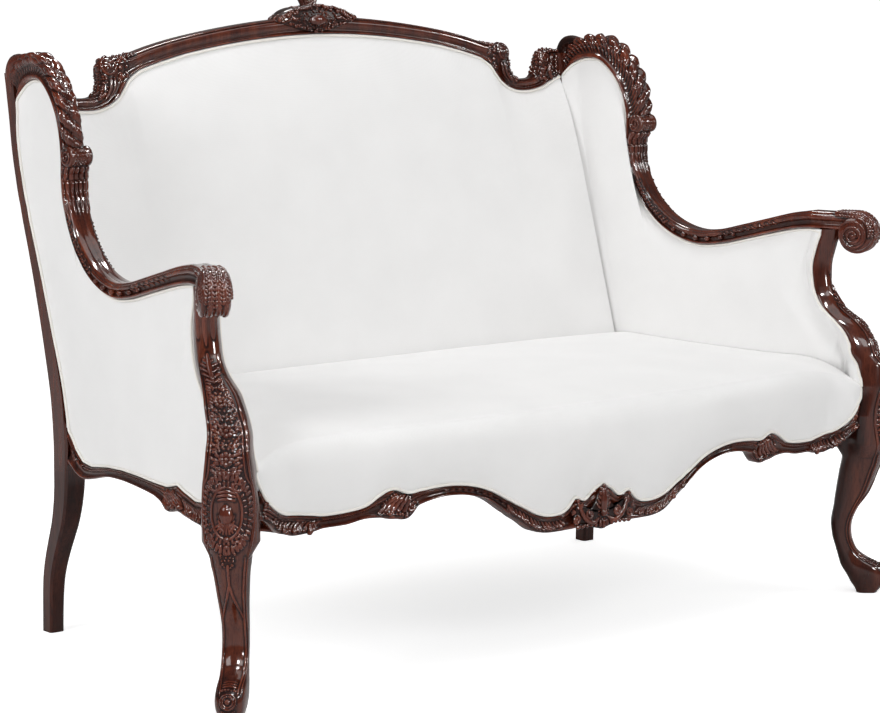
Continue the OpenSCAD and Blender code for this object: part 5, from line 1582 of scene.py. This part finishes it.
crest_mesh = bpy.data.objects["carved_crest"].data
crest_wood = BVHTree.FromPolygons([v.co for v in crest_mesh.vertices],
                                  [p.vertices for p in crest_mesh.polygons])
crest_shell_piece().made("crest_shell_carving", 1, mahogany_long, nodes=["crest_shell"])
crest_scrolls().made("crest_scrolls", 1, mahogany_long, "carved_crest")


# Carving on the front and side rails
face_middle = 26
apron_skin, side_rail_skin = Skin(apron_rings(), face_middle), Skin(side_rail_rings(), face_middle)


def rail_leaves(c, skin, place, first, last, count, way, top, low, r):
    """Lobes in a row that hang over a rail's lower edge, leaning one way."""
    for i in range(count):
        f = (i + 0.5) / count
        s0 = place(mix(first, last, f))
        size = 0.72 + 0.3 * sin(pi * f) + 0.12 * sin(i * 2.4)
        q = r * (0.95 + 0.3 * sin(i * 1.9))
        lobe = ((-7, top), (-1, mix(top, low, 0.45)), (4, low * size), (9, low * size - 1))
        c.on(skin, [(s0 + a * way, b) for a, b in lobe], [q * 0.4, q * 0.9, q * 1.2, q * 0.8], steps=12)
    path = [(place(first), low * 0.55), (place((first + last) / 2), low * 0.9), (place(last), low * 0.55)]
    c.bumps(skin, path, count, r * 0.6, 90 + 40 * way, 60, 1.2)


def leaf_wrap(c, skin, middle, way, tall, r):
    """An acanthus leaf that is wrapped across a rail."""
    for k in range(5):
        x = (k - 2) * 10
        lean = abs(k - 2) * 2.0
        rib = ((x * 1.2 - 16, -tall * 0.9 + lean), (x - 5, -tall * 0.35), (x * 0.8 + 2, tall * 0.3),
               (x * 0.5 + 12, tall - lean * 1.4))
        c.on(skin, [(middle + a * way, b) for a, b in rib], [r, r * 1.5, r * 1.2, r * 0.6], steps=18)
    for lobes, count, q, turn in ((((-38, -0.7), (-10, -0.95), (18, -0.9)), 11, 1.05, 200),
                                  (((-32, -0.2), (-22, 0.3), (-8, 0.8)), 7, 0.9, -30)):
        c.bumps(skin, [(middle + a * way, tall * b) for a, b in lobes], count, r * q, turn * way)
    c.curl(skin, middle + 28 * way, -tall * 0.5, 9, way, 3.2)


def apron_carving():
    """Leaves by the legs, wrapped leaves at a third and gadroons beside the cartouche."""
    c = Carving()
    at = apron_skin.find
    for way in (-1, 1):
        rail_leaves(c, apron_skin, lambda v: at(v * way), 568, 600, 4, way, 5, -15, 4.0)
        leaf_wrap(c, apron_skin, at(422 * way), -way, 21, 3.2)
        rail_leaves(c, apron_skin, lambda v: at(v * way), 84, 205, 15, -way, 4, -12, 3.6)
        for x in np.linspace(215, 330, 10):
            c.on(apron_skin, [(at(x * way) - 4, -3), (at(x * way) + 4, 2)], [0.8, 1.8, 0.8], steps=7)
    return c


class FrontPlate(Plate):
    """A flat ground before the front rail, by height over the floor and length."""

    def at(self, s, w):
        return [np.array([w, front_y - self.out, s]), np.array([0.0, -1.0, 0.0])]


def cartouche_piece():
    """Three leaf points over scrolls, with a fan below."""
    c = Carving()
    outline = [(-70, 246), (-66, 262), (-60, 276), (-50, 268), (-34, 262), (-20, 274), (-12, 290), (0, 300),
               (12, 290), (20, 274), (34, 262), (50, 268), (60, 276), (66, 262), (70, 246), (40, 236),
               (14, 229), (0, 226), (-14, 229), (-40, 236)]
    rim = ring_of(outline, 90)
    rings = []
    for out, f in ((0.2, 0.9), (1.5, 0.97), (4, 0.9), (5, 0.5)):
        x, z = mix(np.array([0, 255.0]), rim, f).T
        rings.append(points(x, front_y - out, z))
    # Painted shade: the cartouche's ground is darker all over, like the ground round the strokes
    c.body(rings, 0.8)
    near = FrontPlate(5.0)
    c.on(near, [(252, 0), (276, 0), (300, 0)], [5, 8.5, 3.5], steps=22, count=12, flat=0.7)
    c.pearl(near, 303, 0, 4)
    c.pearl(near, 256, 0, 7)
    c.rays(near, 256, 0, 11, 11, 12, 2.0, 0.9, 1.1)
    for way in (-1, 1):
        for k in range(5):
            leaf = [(262 + k * 8, 2 * way), (267 + k * 8, (11 - k) * way), (274 + k * 7, (15 - 2 * k) * way)]
            c.on(near, leaf, [1.6, 2.8, 1.6], steps=9)
        scroll = [(z, x * way) for z, x in ((248, 10), (241, 24), (248, 40), (262, 50), (280, 58))]
        c.on(near, scroll, [3.0, 4.4, 4.6, 4.0, 2.0], steps=30)
        c.pearl(near, 283, 59 * way, 3.4)
        c.curl(near, 256, 31 * way, 9, way, 3.0)
        c.curl(near, 250, 62 * way, 8, -way, 2.8)
        c.frill(near, 268, 50 * way, 40 * way, 10, 4, 2.4)
        c.frill(near, 262, 64 * way, 75 * way, 9, 3, 2.2)
        for k in range(6):
            fan = ((244 - k, 6 + 9 * k), (238 - k * 0.4, 8 + 10 * k), (231 + k * 1.4, 7 + 11 * k))
            c.on(near, [(z, x * way) for z, x in fan], [2.0, 3.6, 2.6], steps=10)
    c.on(near, [(244, 0), (236, 0), (228, 0)], [2.6, 4.0, 3.0], steps=12)
    return c


def side_rail_carving():
    """A wrapped leaf and gadroons toward the front leg, and a bracket scroll at the rear post."""
    c = Carving()
    length = float(side_rail_skin.s[-1])

    def at(share):
        return share * length

    leaf_wrap(c, side_rail_skin, at(0.255), 1, 19, 3.0)
    rail_leaves(c, side_rail_skin, at, 0.02, 0.17, 9, -1, 8, -15, 4.0)
    rail_leaves(c, side_rail_skin, at, 0.19, 0.31, 7, -1, 0, -17, 3.4)
    c.curl(side_rail_skin, at(0.955), -4, 11, 1, 3.0)
    for k in range(5):
        c.frill(side_rail_skin, at(0.87 + 0.02 * k), 2 - k, 20, 11, 3, 2.4)
    return c


def knee_bracket():
    """A small scrolled bracket that carries the side rail round into the front leg."""
    c = Carving()
    y = side_y0
    a, b, d, e = ([float(rail_x(y + 58)), y + 58, 302], [float(rail_x(y + 26)), y + 26, 296],
                  [float(rail_x(y)) + 1, y - 3, 277], [float(rail_x(y)) + 2, y - 16, 246])
    n = [1.0, 0.0, 0]
    c.stroke([a, b, d, e], [n] * 4, [3, 11, 15, 6], lift=0, flat=0.9, count=18, steps=34)
    c.stroke([np.array(p) + [13 * q, 0, 0] for p, q in ((a, 0.4), (b, 0.9), (d, 1.05), (e, 0.5))], [n] * 4,
             [1.4, 2.8, 2.8, 1.4], steps=30)
    return c


def knee_shoulder():
    """The rail's moulded end, which swells forward under the seat's corner into the knee."""
    x = half_l - swell_run + (swell_run + 2.5) * np.linspace(0, 1, 70)
    lo = apron_edge(x, 2) + 22 * smooth((x - half_l + 50) / 50)
    hi = apron_edge(x, 1) + corner_rise(x) * 0.99
    y = apron_y(x) - corner_out(x) * 1.08 + 0.9 - 1.5 * smooth((x - half_l + 90) / 40)
    tall = (hi - lo)[:, None]
    face = points(y[:, None] + rail_face[None, :, 1] * lip, lo[:, None] + tall * rail_face[None, :, 0])
    rear = [points(apron_y(x) + d, z) for d, z in ((4, hi), (14, mix(hi, lo, 0.5)), (14, lo), (8, lo))]
    ring = np.concatenate([face, np.stack(rear, 1)], 1)
    return points(x[:, None], ring[..., 0], ring[..., 1])


def shoulder_carving(skin):
    """Leaf ribs that fan from the knee over the shoulder, with small lobes on its lower edge."""
    c = Carving()
    at = skin.find
    for k in range(5):
        rib = ((6, -16 + 5 * k), (16, -10 + 7 * k), (30 + 3 * k, -6 + 6.5 * k))
        c.on(skin, [(at(half_l - x), w) for x, w in rib], [3.2, 2.6, 1.0], steps=14)
    c.bumps(skin, [(at(half_l - 30), -12), (at(half_l - 20), -14), (at(half_l - 8), -20)], 6, 3.4, 120)
    rail_leaves(c, skin, at, half_l - 92, half_l - 26, 8, 1, 4, -15, 3.8)
    c.bumps(skin, [(at(half_l - 16), 18), (at(half_l - 8), 24)], 4, 2.6, 60)
    return c


shoulder_skin = Skin(knee_shoulder(), face_middle)
apron_carving().made("apron_leaf_carving", 1, mahogany_long, "carved_front_rail")
cartouche_piece().made("apron_cartouche_carving", 1, mahogany_long, nodes=["apron_cartouche"])
for side, word in sides:
    knee_bracket().made(word + "_knee_bracket", side, mahogany_up)
    wood(word + "_knee_shoulder", tube(knee_shoulder()), side, mahogany_long, [], 40)
    shoulder_carving(shoulder_skin).made(word + "_shoulder_carving", side, mahogany_long,
                                         word + "_knee_shoulder")
    side_rail_carving().made(word + "_side_rail_leaf", side, mahogany_deep, word + "_carved_side_rail")


# Hidden cloth: the outside back, the bottom cloth and the webbing
cloth_low = leg_h - apron_drop * 0.14


def outside_back_piece():
    x = np.linspace(-1, 1, 90) * (post_in_x - fit)
    top = crest_low_z(x) - fit
    v = np.linspace(0, 1, 40)
    z = mix(cloth_low + 1, top[:, None], v[None, :])
    xs = x[:, None] + 0 * z
    y = mix(rear_y + rail_t / 2 + fit, (crest_front(x, top) + crest_t * 0.8)[:, None], v[None, :])
    pull = np.sin(pi * v[None, :]) * np.cos(pi * xs / 2 / post_in_x)
    edge = smooth(v[None, :] / 0.03) * smooth((1 - v[None, :]) / 0.03) * smooth((post_in_x - np.abs(xs)) / 12)
    back_face_y = y + panel_t * (0.55 + 0.45 * edge) + 2.5 * pull
    return shell(points(xs, y, z), points(xs, back_face_y, z))


def bottom_cloth():
    y_side, y_post = side_y0 + fit, float(post_front(cloth_low)) - fit
    v = np.linspace(0, 1, 60)
    y = mix(y_side, rear_y - rail_t / 2 - fit, v)
    half = np.where(y < y_post, rail_x(np.minimum(y, y_post)) - rail_t / 2 - fit, post_in_x - fit)
    y = np.concatenate([y[:1] - 1, y])
    half = np.concatenate([[half_l - fit], half])
    u = np.linspace(-1, 1, 110)
    xs = u[:, None] * half[None, :]
    front = apron_y(xs[:, :1]) + rail_t + fit
    share = (y - y[0]) / (y[-1] - y[0])
    ys = mix(np.minimum(front, y[0]), y[-1], share)
    sag = 5 * np.sin(pi * np.abs(u)[:, None] ** 1.2) * np.sin(pi * (y - y[0]) / (y[-1] - y[0]))[None, :]
    low = points(xs, ys, cloth_low - sag)
    return shell(low + np.array([0, 0, 0.6]), low)


def straps(count, place):
    """Woven strips with raised selvedges, each a grid of its own."""
    parts = []
    for i in range(count):
        x0, x1, y0, y1, z = place(i)
        u, v = np.linspace(0, 1, 9)[:, None], np.linspace(0, 1, 60)[None, :]
        x, y = mix(x0, x1, u), mix(y0, y1, v)
        wave = 0.25 * np.cos(8 * pi * u)
        parts.append(shell(points(x, y, z + web_t - 0.3 + wave), points(x, y, z)))
    return joined(parts)


web_w = 50
long_count, cross_count = 9, 3


def long_strap(i):
    x = mix(-half_l + web_w * 2, half_l - web_w * 2, i / (long_count - 1))
    y0 = max(float(apron_y(x - web_w / 2)), float(apron_y(x + web_w / 2))) + rebate + rail_t * 0.1
    return x - web_w / 2, x + web_w / 2, y0, rear_y + rail_t * 0.3, rail_top_h


def cross_strap(i):
    y = mix(side_y0 + web_w, rear_y - rail_t / 2 - web_w * 1.4, i / (cross_count - 1))
    x = float(rail_x(y)) - rail_t * 0.2 - web_w * 0.14
    return -x, x, y - web_w / 2, y + web_w / 2, side_rail_top


soft("outside_back_cloth", outside_back_piece(), 1, "outside_back", 0.9)
under = finish_mesh("bottom_cloth", bottom_cloth(), 1, black_cloth, ["dust_cover"], 60)
finish_mesh("long_webbing", straps(long_count, long_strap), 1, web_cloth, ["seat_webbing"], 60)
finish_mesh("cross_webbing_strips", straps(cross_count, cross_strap), 1, web_cloth,
            ["cross_webbing"], 60)


# The camera at the photograph's angle
camera_place_m = (-3.422, -4.225, 1.277)
camera_down, camera_turn = 8.36, -38.88
floor_size_m = 160
# Strengths: the world's light on the cloth and in the polish, and the floor's own light in the picture
world_light, polish_light, floor_lift = 0.45, 0.16, 0.66
# Soft panels and glints, in metres: place, the height that they aim at over the middle, size and power
panels = (("key", (-1.2, -4.6, 3.4), 0.6, (2.0, 1.4), 54), ("left", (-4.6, -0.4, 2.8), 0.7, (2.4, 1.8), 86),
          ("fill", (3.4, -3.4, 2.2), 0.6, (1.4, 1.2), 20), ("top", (0.4, -0.4, 4.2), 0.5, (3.0, 2.0), 40))
glints = (("front_glint", (-2.9, -3.9, 3.3), 0.6, (0.8, 0.5), 230),
          ("right_glint", (1.6, -4.4, 3.0), 0.6, (0.7, 0.4), 130),
          ("high_glint", (-1.4, -1.8, 4.4), 0.6, (0.9, 0.5), 170),
          ("low_glint", (-0.9, -5.0, 1.5), 0.6, (0.5, 0.4), 60),
          ("side_glint", (3.9, -2.4, 2.7), 0.6, (0.6, 0.4), 80),
          ("rear_glint", (0.7, 1.5, 4.2), 0.7, (1.0, 0.5), 130))


def add_camera():
    data = bpy.data.cameras.new("photo_view")
    data.sensor_width = 36
    data.lens = 123.4
    camera = bpy.data.objects.new("photo_view", data)
    scene.collection.objects.link(camera)
    camera.location = camera_place_m
    camera.rotation_euler = (radians(90 - camera_down), 0, radians(camera_turn))
    scene.camera = camera


def add_lamp(glint, name, place, aim, size, power):
    """A soft panel, or a glint, which is seen only in the polish."""
    data = bpy.data.lights.new(name, "AREA")
    data.shape = "RECTANGLE"
    data.size, data.size_y = size
    data.energy = power
    lamp = bpy.data.objects.new(name, data)
    scene.collection.objects.link(lamp)
    lamp.location = place
    lamp.rotation_euler = (Vector(place) - Vector((0, 0, aim))).to_track_quat("Z", "Y").to_euler()
    lamp.visible_diffuse = not glint


def add_floor():
    bpy.ops.mesh.primitive_plane_add(size=floor_size_m, location=(0, 0, 0))
    floor = bpy.context.object
    floor.name = "studio_floor"
    mat, tree, shader = material("studio_paper")
    seen = node(tree, "ShaderNodeLightPath")["Is Camera Ray"]
    lift = node(tree, "ShaderNodeMath", seen, floor_lift, operation="MULTIPLY")[0]
    fill(tree, shader, Base_Color=(0.9, 0.9, 0.9, 1), Roughness=0.9, Specular_IOR_Level=0.0,
         Emission_Color=(1, 1, 1, 1), Emission_Strength=lift)
    floor.data.materials.append(mat)


def add_world():
    """White behind the sofa, and a softer light from all sides that is dimmer in the polish."""
    world = bpy.data.worlds.new("studio")
    scene.world = world
    world.use_nodes = True
    tree = world.node_tree
    tree.nodes.clear()
    path = node(tree, "ShaderNodeLightPath")
    dim = node(tree, "ShaderNodeMath", path["Is Glossy Ray"], polish_light - world_light, world_light,
               operation="MULTIPLY_ADD")[0]
    soft_white = node(tree, "ShaderNodeBackground", (1, 1, 1, 1), dim)[0]
    white = node(tree, "ShaderNodeBackground", (1, 1, 1, 1), 1.0)[0]
    choose = node(tree, "ShaderNodeMixShader", path["Is Camera Ray"], soft_white, white)[0]
    node(tree, "ShaderNodeOutputWorld", choose)


add_camera()
add_floor()
for lamp in panels:
    add_lamp(False, *lamp)
for lamp in glints:
    add_lamp(True, *lamp)
add_world()
scene.view_settings.view_transform = "Standard"

# The plain solids of the frame wear the same looks: the first row with a word of the node's name, else beech
node_looks = ((("leg", "post"), mahogany_up), (("crest", "front_seat", "cartouche"), mahogany_long),
              (("side_rail", "arm_rail"), mahogany_deep), (("web",), web_cloth), (("dust",), black_cloth),
              (("piping",), piping_cloth), (("cushion", "inside", "outside"), cover), (("",), beech))
for name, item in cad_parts.items():
    look = next(look for words, look in node_looks if any(word in name for word in words))
    item.data.materials.clear()
    item.data.materials.append(look)
